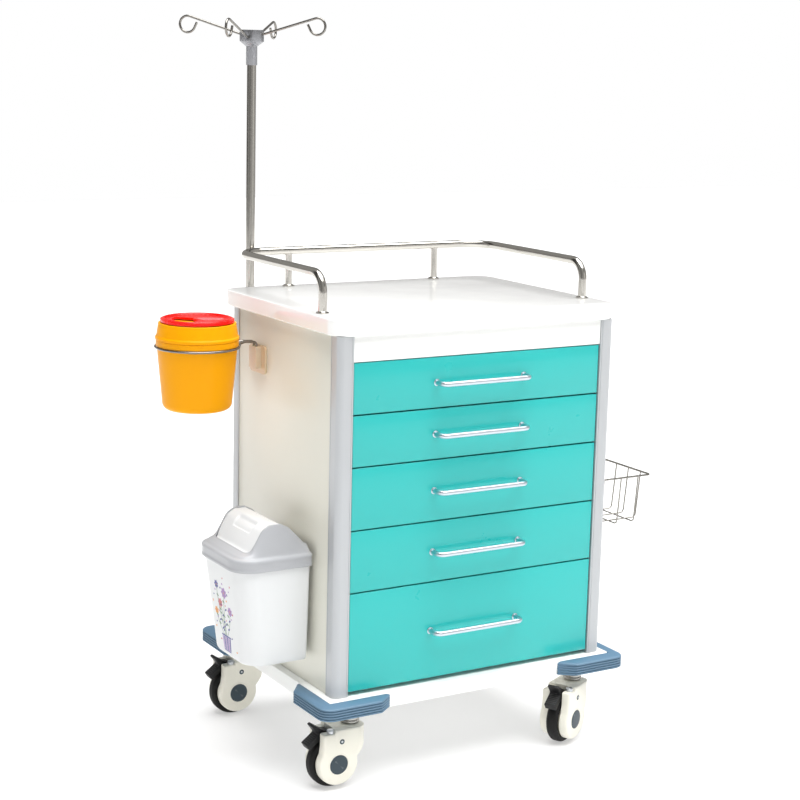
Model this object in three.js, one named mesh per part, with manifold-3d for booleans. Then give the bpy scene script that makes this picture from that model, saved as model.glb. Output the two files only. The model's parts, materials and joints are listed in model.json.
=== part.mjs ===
// A hospital crash cart: five drawers in a post-and-panel cabinet on four swivel casters, with a guard
// rail, an infusion pole, a sharps container, a waste bin and a wire basket.
// Millimetres, +Z up. The drawers face -Y and +X is the viewer's right.
import * as THREE from "three";
import { mergeVertices } from "three/addons/utils/BufferGeometryUtils.js";
import Module from "manifold-3d";

const wasm = await Module();
wasm.setup();

// ---------------------------------------------------------------------------------------------------
// Driving dimensions
// ---------------------------------------------------------------------------------------------------
const gap = 0.3; // air between pieces that rest on each other
const quarter = Math.PI / 2;

const worktop = { width: 625, depth: 480, thickness: 30, corner: 38, edge: 2.5 };
const body = { sideInset: 8, frontInset: 5, rearInset: 36 };
const post = { size: 31, corner: 12, wall: 2.5 };
const panel = { thickness: 2, recess: 2 };
const deck = { sideOverhang: 5.5, endOverhang: 8, height: 28, sheet: 2, corner: 6, aboveHousing: 29 };
const bumper = { leg: 129, reach: 26, height: 26, corner: 26, chamfer: 33 };
const fascia = { height: 48, thickness: 20, sheet: 1.5, recess: 2 };
const drawer = {
  pitches: [97, 97, 118, 118, 190], // top drawer first
  underGap: 7,
  seam: 3,
  sideGap: 2,
  frontThickness: 18,
  frontSheet: 1.5,
  frontRecess: 3,
  boxWall: 1.5,
  boxRearSpace: 27.7,
  boxSideGap: 16.5,
  boxFloorLift: 11,
  boxHeadroom: 16,
};
const slide = {
  height: 34,
  depth: 11,
  wall: 2,
  mouth: 22,
  headHeight: 26,
  headThickness: 3,
  clearance: 1.2,
  lift: 34,
};
const upright = { thickness: 6 };
const handle = { span: 193, reach: 31, diameter: 10, bend: 12 };
const rail = {
  diameter: 16,
  height: 72,
  sideInset: 22,
  rearInset: 20,
  footFromFront: 95,
  cornerBend: 60,
  footBend: 66,
  postDiameter: 14,
  postSpacing: 344,
  flangeDiameter: 24,
  flangeHeight: 3,
  seatDepth: 1, // of the recess in the worktop under each flange
  seatMargin: 0.6,
};
const pole = { diameter: 18, wall: 1.5, fromLeft: 71, behindWorktop: 14, topAboveWorktop: 472, bottom: 340 };
const poleBracket = {
  plateWidth: 44,
  plateThickness: 4,
  sleeve: 26,
  sleeveWall: 4,
  clearance: 0.35,
  top: 822,
  bottom: 652,
  arm: 14,
};
const knob = { stem: 8, headDiameter: 32, headLength: 14, lobes: 6, reach: 26 };
const hub = { collarDiameter: 22, collarHeight: 36, headWidth: 44, headHeight: 22, taper: 10, rodSpacing: 7 };
const hook = { wire: 4.8, reach: 150, rise: 17, loop: 16, loopTurn: 261, tail: 12 };
const sharps = {
  fromRear: 155,
  ringHeight: 794,
  outFromPanel: 131,
  ringRadius: 79,
  ringWire: 4.6,
  neckSpacing: 12,
  plateWidth: 66,
  plateHeight: 55,
  plateThickness: 4,
  pocketWidth: 30,
  pocketDepth: 11,
  pocketHeight: 42,
  bodyDepth: 120,
  bottomRadius: 66,
  wall: 2,
  fit: 0.5,
};
const bin = {
  fromFront: 172,
  backToPanel: 10.5,
  floor: 228,
  rim: 430,
  topWidth: 182,
  topDepth: 148,
  bottomWidth: 164,
  bottomDepth: 124,
  frontCorner: 40,
  backCorner: 9,
  wall: 2.2,
  skirtBottom: 413,
  skirtTop: 437,
  skirtLip: 4.5,
  skirtWall: 2.5,
  domeHeight: 58,
  domeLean: 11,
  shoulderHeight: 9,
  shoulderDepth: 25,
  gableInset: 7.5,
  gableInner: 73,
  flapWall: 2.2,
  flapClearance: 1,
  pivotHeight: 44,
  pivotDiameter: 6,
};
const hanger = {
  width: 60,
  height: 72,
  sheet: 3,
  web: 16,
  flange: 36,
  flangeSheet: 2.5,
  bottom: 330,
  clearance: 0.6,
};
const basket = {
  fromFront: 62,
  length: 304,
  depth: 152,
  height: 96,
  top: 512,
  rimWire: 4,
  wire: 2.8,
  taper: 9,
  bend: 9,
  acrossPitch: 40,
  acrossCount: 7,
  alongPitch: 43,
  alongFirst: 31,
  alongCount: 3,
  plateWidth: 50,
  plateSheet: 3,
};
const caster = {
  wheelRadius: 50,
  tyreWidth: 24,
  trail: 38,
  stemFromSide: 56,
  stemFromFront: 27,
  headAboveWheel: 18,
  headFrontX: -46,
  shoulderX: -70,
  shoulderDrop: 6,
  cheekStartAngle: 0.55,
  cheekEndAngle: 0.25,
  housingWidth: 61,
  slot: 28,
  wheelClearance: 2.5,
  cheekShare: 0.81,
  backReach: 22,
  ringDiameter: 36,
  kingpin: 12,
  pinClearance: 0.4,
  axle: 8,
  pedalPin: 5,
  pedalWidth: 24,
};
const frontRightSwivel = THREE.MathUtils.degToRad(27); // this caster stands turned away from the others

// ---------------------------------------------------------------------------------------------------
// Places worked out from the driving dimensions
// ---------------------------------------------------------------------------------------------------
const total = (values) => values.reduce((sum, value) => sum + value, 0);
const housingTop = 2 * caster.wheelRadius + caster.headAboveWheel;
const deckUnderside = housingTop + deck.aboveHousing;
const deckTop = deckUnderside + deck.height;
const bodyTop = deckTop + drawer.underGap + total(drawer.pitches) + fascia.height;
const worktopTop = bodyTop + worktop.thickness;
const frontEdge = -worktop.depth / 2;
const rearEdge = worktop.depth / 2;
const sideX = worktop.width / 2 - body.sideInset; // outer face of the posts
const frontY = frontEdge + body.frontInset;
const rearY = rearEdge - body.rearInset;
const openingX = sideX - post.size; // half the width between the posts
const panelX = sideX - panel.recess; // outer face of the side panels
const deckX = worktop.width / 2 + deck.sideOverhang;
const deckY = worktop.depth / 2 + deck.endOverhang;

// ---------------------------------------------------------------------------------------------------
// Solids from three.js geometry
// ---------------------------------------------------------------------------------------------------
function toSolid(geometry) {
  const bare = new THREE.BufferGeometry().setAttribute("position", geometry.getAttribute("position"));
  if (geometry.index) bare.setIndex(geometry.index);
  const merged = mergeVertices(bare, 1e-3);
  const corners = Array.from(merged.index.array);
  const kept = [];
  for (let i = 0; i < corners.length; i += 3) {
    const [a, b, c] = corners.slice(i, i + 3);
    if (a !== b && b !== c && c !== a) kept.push(a, b, c);
  }
  const build = (triangles) =>
    new wasm.Manifold(
      new wasm.Mesh({
        numProp: 3,
        vertProperties: new Float32Array(merged.getAttribute("position").array),
        triVerts: new Uint32Array(triangles),
      }),
    );
  const made = build(kept);
  return made.volume() < 0 ? build(kept.reverse()) : made;
}

function toGeometry(solid) {
  const mesh = solid.getMesh();
  const geometry = new THREE.BufferGeometry();
  geometry.setAttribute("position", new THREE.BufferAttribute(new Float32Array(mesh.vertProperties), 3));
  geometry.setIndex(new THREE.BufferAttribute(new Uint32Array(mesh.triVerts), 1));
  geometry.computeVertexNormals();
  return geometry;
}

function fuse(...geometries) {
  return toGeometry(geometries.map(toSolid).reduce((whole, piece) => whole.add(piece)));
}

function carve(base, ...tools) {
  return toGeometry(tools.map(toSolid).reduce((whole, tool) => whole.subtract(tool), toSolid(base)));
}

function overlapOf(first, second) {
  return toGeometry(toSolid(first).intersect(toSolid(second)));
}

function block(x0, x1, y0, y1, z0, z1) {
  const box = new THREE.BoxGeometry(x1 - x0, y1 - y0, z1 - z0);
  return box.translate((x0 + x1) / 2, (y0 + y1) / 2, (z0 + z1) / 2);
}

function pillar(radius, z0, z1, x = 0, y = 0, sides = 20) {
  const cylinder = new THREE.CylinderGeometry(radius, radius, z1 - z0, sides);
  return cylinder.rotateX(quarter).translate(x, y, (z0 + z1) / 2);
}

function crossPin(radius, halfLength, x, z, sides = 16) {
  const cylinder = new THREE.CylinderGeometry(radius, radius, 2 * halfLength, sides);
  return cylinder.rotateY(Math.PI / sides).translate(x, 0, z);
}

const polygon = (points) => new THREE.Shape(points.map(([a, b]) => new THREE.Vector2(a, b)));

function extrude(shape, length, curveSegments = 6) {
  return new THREE.ExtrudeGeometry(shape, { depth: length, bevelEnabled: false, curveSegments });
}

const extrudeZ = (shape, z0, z1, curveSegments) => extrude(shape, z1 - z0, curveSegments).translate(0, 0, z0);

// The shape's first coordinate is X and its second is Z.
const extrudeY = (shape, y0, y1, curveSegments) =>
  extrude(shape, y1 - y0, curveSegments).rotateX(quarter).translate(0, y1, 0);

// The shape's first coordinate is Y and its second is Z.
function extrudeX(shape, x0, x1, curveSegments) {
  const turned = new THREE.Matrix4().makeBasis(
    new THREE.Vector3(0, 1, 0),
    new THREE.Vector3(0, 0, 1),
    new THREE.Vector3(1, 0, 0),
  );
  return extrude(shape, x1 - x0, curveSegments).applyMatrix4(turned).translate(x0, 0, 0);
}

// A rectangle whose corners have their own radii, from the lower left anticlockwise; 0 leaves one square.
function roundedRectangle(x0, x1, y0, y1, radii) {
  const [lowerLeft, lowerRight, upperRight, upperLeft] = Array.isArray(radii) ? radii : Array(4).fill(radii);
  const corners = [
    [x0 + lowerLeft, y0 + lowerLeft, lowerLeft],
    [x1 - lowerRight, y0 + lowerRight, lowerRight],
    [x1 - upperRight, y1 - upperRight, upperRight],
    [x0 + upperLeft, y1 - upperLeft, upperLeft],
  ];
  const shape = new THREE.Shape();
  corners.forEach(([x, y, radius], index) => {
    const start = (index + 2) * quarter;
    const begin = [x + radius * Math.cos(start), y + radius * Math.sin(start)];
    if (index === 0) shape.moveTo(...begin);
    else shape.lineTo(...begin);
    if (radius > 0) shape.absarc(x, y, radius, start, start + quarter);
  });
  return shape;
}

function lathe(profile, sides = 32) {
  const points = profile.map(([radius, height]) => new THREE.Vector2(radius, height));
  return new THREE.LatheGeometry(points, sides).rotateX(quarter);
}

// A wire's centre line as stations, each a point and a direction, closer together in the bends.
class WirePath extends THREE.Curve {
  constructor(stations) {
    super();
    this.stations = stations;
  }
  station(u) {
    return this.stations[Math.round(u * (this.stations.length - 1))];
  }
  getPointAt(u, target = new THREE.Vector3()) {
    return target.copy(this.station(u).point);
  }
  getTangentAt(u, target = new THREE.Vector3()) {
    return target.copy(this.station(u).direction);
  }
}

function wire(stations, diameter, sides = 8) {
  const section = new THREE.Shape();
  section.absarc(0, 0, diameter / 2, 0, 2 * Math.PI);
  return new THREE.ExtrudeGeometry(section, {
    steps: stations.length - 1,
    extrudePath: new WirePath(stations),
    curveSegments: sides / 2,
  });
}

// Stations of a wire through the given corners, with an arc of the given radius at each inner corner.
function bentWire(corners, radius, arcSteps = 4) {
  const points = corners.map((corner) => new THREE.Vector3(...corner));
  const radiusAt = (i) => (Array.isArray(radius) ? radius[i - 1] : radius);
  const stations = [{ point: points[0], direction: points[1].clone().sub(points[0]).normalize() }];
  for (let i = 1; i < points.length - 1; i++) {
    const arriving = points[i].clone().sub(points[i - 1]).normalize();
    const leaving = points[i + 1].clone().sub(points[i]).normalize();
    const turn = arriving.angleTo(leaving);
    const axis = arriving.clone().cross(leaving).normalize();
    const start = points[i].clone().addScaledVector(arriving, -radiusAt(i) * Math.tan(turn / 2));
    const centre = start.clone().addScaledVector(axis.clone().cross(arriving), radiusAt(i));
    for (let step = 0; step <= arcSteps; step++) {
      const angle = (turn * step) / arcSteps;
      const spoke = start.clone().sub(centre).applyAxisAngle(axis, angle);
      const direction = arriving.clone().applyAxisAngle(axis, angle);
      stations.push({ point: centre.clone().add(spoke), direction });
    }
  }
  const last = points.length - 1;
  stations.push({ point: points[last], direction: points[last].clone().sub(points[last - 1]).normalize() });
  return stations;
}

// ---------------------------------------------------------------------------------------------------
// Materials
// ---------------------------------------------------------------------------------------------------
const paint = (color, roughness, metalness = 0) => new THREE.MeshStandardMaterial({ color, roughness, metalness });
const finish = {
  whiteEnamel: paint(0xf6f7f5, 0.35),
  worktopPlastic: paint(0xfafaf8, 0.2),
  panelEnamel: paint(0xe9e6dc, 0.4),
  tealEnamel: paint(0x40cfc8, 0.25),
  aluminium: paint(0xc9ccd1, 0.4, 0.8),
  zincSteel: paint(0xb9bcc0, 0.5, 0.8),
  stainless: paint(0xc4c1ba, 0.25, 1),
  bumperPlastic: paint(0x6f93b3, 0.6),
  casterPlastic: paint(0xf1efe3, 0.45),
  tyreRubber: paint(0x191817, 0.7),
  blackPlastic: paint(0x17181a, 0.5),
  sharpsYellow: paint(0xf0ad00, 0.4),
  sharpsRed: paint(0xf01a0c, 0.35),
  binWhite: paint(0xeceef0, 0.4),
  binGrey: paint(0xb7b9bd, 0.45),
  beigePlastic: paint(0xd9cdb8, 0.3),
};

const cart = new THREE.Group();

function add(name, geometry, material, parent = cart) {
  const mesh = new THREE.Mesh(toGeometry(toSolid(geometry)), material);
  mesh.name = name;
  parent.add(mesh);
  return mesh;
}

// The four corners of the cart. Turning a front-left corner piece by "turns" quarter turns fits it there.
const corners = [
  { name: "front_left", x: -1, y: -1, turns: 0 },
  { name: "front_right", x: 1, y: -1, turns: 1 },
  { name: "rear_right", x: 1, y: 1, turns: 2 },
  { name: "rear_left", x: -1, y: 1, turns: 3 },
];

// ---------------------------------------------------------------------------------------------------
// Cabinet
// ---------------------------------------------------------------------------------------------------
function worktopSlab() {
  const outline = roundedRectangle(
    -worktop.width / 2,
    worktop.width / 2,
    -worktop.depth / 2,
    worktop.depth / 2,
    worktop.corner,
  );
  const slab = new THREE.ExtrudeGeometry(outline, {
    depth: worktop.thickness - 2 * worktop.edge,
    bevelThickness: worktop.edge,
    bevelSize: worktop.edge,
    bevelOffset: -worktop.edge,
    bevelSegments: 2,
    curveSegments: 5,
  }).translate(0, 0, bodyTop + worktop.edge);
  const radius = rail.flangeDiameter / 2 + rail.seatMargin;
  const seats = railFeet().map(([x, y]) => pillar(radius, worktopTop - rail.seatDepth, worktopTop + 1, x, y, 20));
  return carve(slab, ...seats);
}

// Where the rail and its two rear posts stand on the worktop.
function railFeet() {
  const x = worktop.width / 2 - rail.sideInset;
  const footY = frontEdge + rail.footFromFront;
  const rearRailY = rearEdge - rail.rearInset;
  return [
    [-x, footY],
    [x, footY],
    [-rail.postSpacing / 2, rearRailY],
    [rail.postSpacing / 2, rearRailY],
  ];
}

// The deck is a tray with its skirt down. Each caster's raceway ring and kingpin are welded under it.
function baseDeck() {
  const outer = roundedRectangle(-deckX, deckX, -deckY, deckY, deck.corner);
  const innerX = deckX - deck.sheet;
  const innerY = deckY - deck.sheet;
  const inner = roundedRectangle(-innerX, innerX, -innerY, innerY, deck.corner - deck.sheet);
  const tray = carve(
    extrudeZ(outer, deckUnderside, deckTop, 3),
    extrudeZ(inner, deckUnderside - 1, deckTop - deck.sheet, 3),
  );
  const stems = corners.flatMap((corner) => {
    const [x, y] = casterPlace(corner);
    return [
      pillar(caster.ringDiameter / 2, housingTop + 2 * gap, deckTop - deck.sheet / 2, x, y, 20),
      pillar(caster.kingpin / 2, housingTop - 12, deckTop - deck.sheet / 2, x, y, 16),
    ];
  });
  return fuse(tray, ...stems);
}

function cornerPost() {
  const half = post.size / 2;
  const inside = half - post.wall;
  const outline = roundedRectangle(-half, half, -half, half, [post.corner, 0, 0, 0]);
  const hollow = roundedRectangle(-inside, inside, -inside, inside, [post.corner - post.wall, 0, 0, 0]);
  return carve(extrudeZ(outline, deckTop + gap, bodyTop - gap, 3), extrudeZ(hollow, deckTop, bodyTop, 3));
}

function cornerBumper() {
  const { leg, reach, corner, chamfer } = bumper;
  const outline = new THREE.Shape();
  outline.moveTo(leg, -gap);
  outline.lineTo(-gap, -gap);
  outline.lineTo(-gap, leg);
  outline.lineTo(-reach, leg - chamfer);
  outline.lineTo(-reach, corner - reach);
  outline.absarc(corner - reach, corner - reach, corner, 2 * quarter, 3 * quarter);
  outline.lineTo(leg - chamfer, -reach);
  return extrudeZ(outline, deckUnderside + 1, deckUnderside + 1 + bumper.height, 5);
}

// A folded sheet pan, open at the back, with its face at the lowest Y.
function foldedPan(x0, x1, y0, y1, z0, z1, sheet) {
  return carve(
    block(x0, x1, y0, y1, z0, z1),
    block(x0 + sheet, x1 - sheet, y0 + sheet, y1 + 1, z0 + sheet, z1 - sheet),
  );
}

function buildCabinet() {
  add("worktop", worktopSlab(), finish.worktopPlastic);
  add("base_deck", baseDeck(), finish.whiteEnamel);
  for (const corner of corners) {
    const standing = add(corner.name + "_post", cornerPost(), finish.aluminium);
    const y = corner.y < 0 ? frontY + post.size / 2 : rearY - post.size / 2;
    standing.position.set(corner.x * (sideX - post.size / 2), y, 0);
    standing.rotation.z = corner.turns * quarter;
    const guard = add(corner.name + "_bumper", cornerBumper(), finish.bumperPlastic);
    guard.position.set(corner.x * deckX, corner.y * deckY, 0);
    guard.rotation.z = corner.turns * quarter;
  }
  const low = deckTop + gap;
  const high = bodyTop - gap;
  const panelFront = frontY + post.size + gap;
  const panelRear = rearY - post.size - gap;
  const inner = panelX - panel.thickness;
  add("left_side_panel", block(-panelX, -inner, panelFront, panelRear, low, high), finish.panelEnamel);
  add("right_side_panel", block(inner, panelX, panelFront, panelRear, low, high), finish.panelEnamel);
  const backX = openingX - gap;
  const backY = rearY - panel.recess;
  add("back_panel", block(-backX, backX, backY - panel.thickness, backY, low, high), finish.panelEnamel);
  const fasciaY = frontY + fascia.recess;
  const fasciaLow = bodyTop - fascia.height + gap;
  add(
    "top_fascia",
    foldedPan(-backX, backX, fasciaY, fasciaY + fascia.thickness, fasciaLow, high, fascia.sheet),
    finish.whiteEnamel,
  );
}

// ---------------------------------------------------------------------------------------------------
// Drawers and the frames that carry their slides
// ---------------------------------------------------------------------------------------------------
const drawerBase = (index) => bodyTop - fascia.height - total(drawer.pitches.slice(0, index + 1));
const slideHeight = (index) => drawerBase(index) + slide.lift; // centre line of a drawer's slides
const boxX = openingX - drawer.boxSideGap; // outer face of the drawer boxes
const boxFront = frontY + drawer.frontRecess + drawer.frontThickness + gap;
const slideRear = rearY - post.size - gap;
const channelX = boxX + gap + slide.clearance; // mouth of the cabinet channels

// One side's two uprights with a channel per drawer; side is -1 on the left and 1 on the right.
function slideFrame(side) {
  const backX = channelX + slide.depth;
  const uprightX = panelX - panel.thickness - gap;
  const front = frontY + post.size + gap;
  const [low, high] = [deckTop + gap, bodyTop - gap];
  const pieces = [front, slideRear - upright.thickness].map((y) => {
    const spans = [side * backX, side * uprightX].sort((a, b) => a - b);
    return block(...spans, y, y + upright.thickness, low, high);
  });
  drawer.pitches.forEach((_, index) => {
    const z = slideHeight(index);
    const half = slide.height / 2;
    const mouth = slide.mouth / 2;
    const { wall } = slide;
    const section = [
      [channelX, z + mouth],
      [channelX, z + half],
      [backX + wall, z + half],
      [backX + wall, z - half],
      [channelX, z - half],
      [channelX, z - mouth],
      [channelX + wall, z - mouth],
      [channelX + wall, z - half + wall],
      [backX, z - half + wall],
      [backX, z + half - wall],
      [channelX + wall, z + half - wall],
      [channelX + wall, z + mouth],
    ];
    pieces.push(extrudeY(polygon(section.map(([x, height]) => [side * x, height])), front, slideRear));
  });
  return fuse(...pieces);
}

// An open box with a T-shaped runner on each side that rides in the cabinet's channel.
function drawerBox(index) {
  const low = drawerBase(index) + drawer.boxFloorLift;
  const high = drawerBase(index) + drawer.pitches[index] - drawer.boxHeadroom;
  const rear = rearY - drawer.boxRearSpace;
  const wall = drawer.boxWall;
  const shell = carve(
    block(-boxX, boxX, boxFront, rear, low, high),
    block(-boxX + wall, boxX - wall, boxFront + wall, rear - wall, low + wall, high + 1),
  );
  const z = slideHeight(index);
  const stem = slide.mouth / 2 - slide.clearance;
  const head = slide.headHeight / 2;
  const headX = channelX + slide.wall + slide.clearance;
  const runners = [-1, 1].map((side) => {
    const section = [
      [boxX - wall / 2, z - stem],
      [headX, z - stem],
      [headX, z - head],
      [headX + slide.headThickness, z - head],
      [headX + slide.headThickness, z + head],
      [headX, z + head],
      [headX, z + stem],
      [boxX - wall / 2, z + stem],
    ];
    return extrudeY(polygon(section.map(([x, height]) => [side * x, height])), boxFront + 12, slideRear);
  });
  return fuse(shell, ...runners);
}

function drawerHandle() {
  const half = handle.span / 2;
  const stations = bentWire(
    [
      [-half, 0, 0],
      [-half, -handle.reach + handle.diameter / 2, 0],
      [half, -handle.reach + handle.diameter / 2, 0],
      [half, 0, 0],
    ],
    handle.bend,
    4,
  );
  return wire(stations, handle.diameter, 8);
}

function buildDrawers() {
  add("left_slide_frame", slideFrame(-1), finish.zincSteel);
  add("right_slide_frame", slideFrame(1), finish.zincSteel);
  const frontX = openingX - drawer.sideGap;
  const faceY = frontY + drawer.frontRecess;
  drawer.pitches.forEach((pitch, index) => {
    const name = "drawer_" + (index + 1);
    const low = drawerBase(index) + drawer.seam / 2;
    const high = drawerBase(index) + pitch - drawer.seam / 2;
    const pan = foldedPan(-frontX, frontX, faceY, faceY + drawer.frontThickness, low, high, drawer.frontSheet);
    add(name + "_front", pan, finish.tealEnamel);
    add(name + "_box", drawerBox(index), finish.zincSteel);
    const pull = add(name + "_handle", drawerHandle(), finish.stainless);
    pull.position.set(0, faceY - gap, (low + high) / 2);
  });
}

// ---------------------------------------------------------------------------------------------------
// Guard rail
// ---------------------------------------------------------------------------------------------------
function guardRail() {
  const feet = railFeet();
  const [x, footY] = feet[1];
  const [postX, rearRailY] = feet[3];
  const foot = worktopTop - rail.seatDepth + gap;
  const high = worktopTop + rail.height;
  const tube = wire(
    bentWire(
      [
        [-x, footY, foot],
        [-x, footY, high],
        [-x, rearRailY, high],
        [x, rearRailY, high],
        [x, footY, high],
        [x, footY, foot],
      ],
      [rail.footBend, rail.cornerBend, rail.cornerBend, rail.footBend],
      5,
    ),
    rail.diameter,
    10,
  );
  const flangeTop = worktopTop + rail.flangeHeight;
  const flanges = feet.map(([px, py]) => pillar(rail.flangeDiameter / 2, foot, flangeTop, px, py, 16));
  const posts = [-postX, postX].map((px) => pillar(rail.postDiameter / 2, foot, high, px, rearRailY, 10));
  return fuse(tube, ...flanges, ...posts);
}

// ---------------------------------------------------------------------------------------------------
// Infusion pole, its bracket on the back panel, and the hooks
// ---------------------------------------------------------------------------------------------------
const poleX = -worktop.width / 2 + pole.fromLeft;
const poleY = rearEdge + pole.behindWorktop;
const poleTop = worktopTop + pole.topAboveWorktop;
const sleeveRadius = pole.diameter / 2 + poleBracket.clearance + poleBracket.sleeveWall;
const knobZ = poleBracket.top - poleBracket.sleeve / 2;

function poleTube() {
  const outer = pole.diameter / 2;
  const inner = outer - pole.wall;
  return lathe([[inner, pole.bottom], [outer, pole.bottom], [outer, poleTop], [inner, poleTop], [inner, pole.bottom]], 20);
}

// A plate on the back panel with two arms, each ending in a sleeve that the pole slides in.
function poleBracketSolid() {
  const plateY = rearY - panel.recess + gap;
  const half = poleBracket.plateWidth / 2;
  const plate = block(-half, half, plateY, plateY + poleBracket.plateThickness, poleBracket.bottom, poleBracket.top);
  const bore = pillar(pole.diameter / 2 + poleBracket.clearance, poleBracket.bottom - 1, poleBracket.top + 1, 0, poleY, 24);
  const levels = [poleBracket.bottom, poleBracket.top - poleBracket.sleeve];
  const arms = levels.flatMap((z) => [
    pillar(sleeveRadius, z, z + poleBracket.sleeve, 0, poleY, 24),
    block(-poleBracket.arm / 2, poleBracket.arm / 2, plateY, poleY, z, z + poleBracket.sleeve),
  ]);
  const knobHole = new THREE.CylinderGeometry(knob.stem / 2 + gap, knob.stem / 2 + gap, sleeveRadius + 2, 12);
  knobHole.translate(0, poleY + (sleeveRadius + 2) / 2, knobZ);
  return carve(fuse(plate, ...arms), bore, knobHole).translate(poleX, 0, 0);
}

function clampKnob() {
  const start = pole.diameter / 2 + gap;
  const stem = new THREE.CylinderGeometry(knob.stem / 2, knob.stem / 2, knob.reach - start + 1, 12);
  stem.translate(0, (start + knob.reach + 1) / 2, 0);
  const star = new THREE.Shape();
  const steps = knob.lobes * 6;
  for (let step = 0; step <= steps; step++) {
    const angle = (2 * Math.PI * step) / steps;
    const radius = (knob.headDiameter / 2) * (0.9 + 0.1 * Math.cos(knob.lobes * angle));
    const place = [radius * Math.cos(angle), radius * Math.sin(angle)];
    if (step === 0) star.moveTo(...place);
    else star.lineTo(...place);
  }
  const head = extrudeY(star, knob.reach, knob.reach + knob.headLength);
  return fuse(stem, head).translate(poleX, poleY, knobZ);
}

const hookLevel = poleTop + hub.taper + hub.headHeight / 2; // middle of the hub's head

// A cast collar over the pole's top that widens to an eight-sided head, bored crosswise for the hook rods.
function poleHub() {
  const collar = pillar(hub.collarDiameter / 2, poleTop - hub.collarHeight, poleTop + hub.taper, 0, 0, 20);
  const socket = pillar(pole.diameter / 2 + gap, poleTop - hub.collarHeight - 1, poleTop + gap, 0, 0, 20);
  const wide = hub.headWidth / 2 / Math.cos(Math.PI / 8);
  const headLow = poleTop + hub.taper;
  const facets = (lower, upper, z0, z1) =>
    new THREE.CylinderGeometry(upper, lower, z1 - z0, 8)
      .rotateX(quarter)
      .rotateZ(Math.PI / 8)
      .translate(0, 0, (z0 + z1) / 2);
  const taper = facets(hub.collarDiameter / 2, wide, headLow - hub.taper, headLow);
  const head = facets(wide, wide, headLow - 0.5, headLow + hub.headHeight);
  const bores = [0, 1].map((index) => {
    const boreRadius = hook.wire / 2 + gap;
    const bore = new THREE.CylinderGeometry(boreRadius, boreRadius, 2 * hub.headWidth, 12).rotateZ(quarter);
    bore.rotateZ(hookAngle(index));
    return bore.translate(0, 0, hookRodLevel(index));
  });
  return carve(fuse(collar, taper, head), socket, ...bores).translate(poleX, poleY, 0);
}

const hookAngle = (index) => (0.5 + index) * quarter;
const hookRodLevel = (index) => hookLevel + (index - 0.5) * hub.rodSpacing;

// One rod through the head: a straight middle, two rising arms, and a teardrop loop at each end.
function hookRod(index) {
  const rise = THREE.MathUtils.degToRad(hook.rise);
  const bendStart = hub.headWidth / 2 + 3;
  const bendRadius = 8;
  const stations = [{ u: 0, w: 0, heading: 0 }];
  const forward = (length) => {
    const { u, w, heading } = stations.at(-1);
    stations.push({ u: u + length * Math.cos(heading), w: w + length * Math.sin(heading), heading });
  };
  const turn = (angle, radius, steps) => {
    const start = stations.at(-1);
    const side = Math.sign(angle);
    const centreU = start.u - side * radius * Math.sin(start.heading);
    const centreW = start.w + side * radius * Math.cos(start.heading);
    for (let step = 1; step <= steps; step++) {
      const heading = start.heading + (angle * step) / steps;
      stations.push({
        u: centreU + side * radius * Math.sin(heading),
        w: centreW - side * radius * Math.cos(heading),
        heading,
      });
    }
  };
  const armEnd = hook.reach - hook.loop * (1 + Math.sin(rise));
  forward(bendStart);
  turn(rise, bendRadius, 2);
  forward((armEnd - stations.at(-1).u) / Math.cos(rise));
  turn(-THREE.MathUtils.degToRad(hook.loopTurn), hook.loop, 12);
  forward(hook.tail);
  const outward = new THREE.Vector3(Math.cos(hookAngle(index)), Math.sin(hookAngle(index)), 0);
  const up = new THREE.Vector3(0, 0, 1);
  const place = (u, w) => outward.clone().multiplyScalar(u).addScaledVector(up, w);
  const farHalf = stations.slice(1).map(({ u, w, heading }) => ({
    point: place(u, w),
    direction: place(Math.cos(heading), Math.sin(heading)),
  }));
  const nearHalf = stations.slice(1).map(({ u, w, heading }) => ({
    point: place(-u, w),
    direction: place(Math.cos(heading), -Math.sin(heading)),
  }));
  return wire([...nearHalf.reverse(), ...farHalf], hook.wire, 6).translate(poleX, poleY, hookRodLevel(index));
}

function buildTop() {
  add("guard_rail", guardRail(), finish.stainless);
  add("iv_pole_bracket", poleBracketSolid(), finish.whiteEnamel);
  add("iv_clamp_knob", clampKnob(), finish.blackPlastic);
  const tube = add("iv_pole", poleTube(), finish.stainless);
  tube.position.set(poleX, poleY, 0);
  add("iv_pole_hub", poleHub(), finish.zincSteel);
  add("iv_hook_rod_lower", hookRod(0), finish.stainless);
  add("iv_hook_rod_upper", hookRod(1), finish.stainless);
}

// ---------------------------------------------------------------------------------------------------
// Sharps container in its wire ring on the left panel
// ---------------------------------------------------------------------------------------------------
const sharpsX = -(panelX + sharps.outFromPanel);
const sharpsY = rearEdge - sharps.fromRear;
const ringTop = sharps.ringWire / 2;
const bodyRadius = sharps.ringRadius - sharps.ringWire / 2 - sharps.fit; // container's radius in the ring
const pocketX = -(panelX + gap + sharps.plateThickness + sharps.pocketDepth / 2);

function sharpsBracket() {
  const half = sharps.plateWidth / 2;
  const top = sharps.ringHeight - 4;
  const outer = -(panelX + gap);
  const plate = extrudeX(
    roundedRectangle(-half, half, top - sharps.plateHeight, top, 8),
    outer - sharps.plateThickness,
    outer,
    3,
  );
  const pocketTop = top - 3;
  const pocket = block(
    pocketX - sharps.pocketDepth / 2,
    outer - sharps.plateThickness / 2,
    -sharps.pocketWidth / 2,
    sharps.pocketWidth / 2,
    pocketTop - sharps.pocketHeight,
    pocketTop,
  );
  const bores = [-1, 1].map((side) => {
    const boreRadius = sharps.ringWire / 2 + sharps.fit;
    return pillar(boreRadius, pocketTop - 34, pocketTop + 1, pocketX, (side * sharps.neckSpacing) / 2, 12);
  });
  return carve(fuse(plate, pocket), ...bores).translate(0, sharpsY, 0);
}

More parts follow.
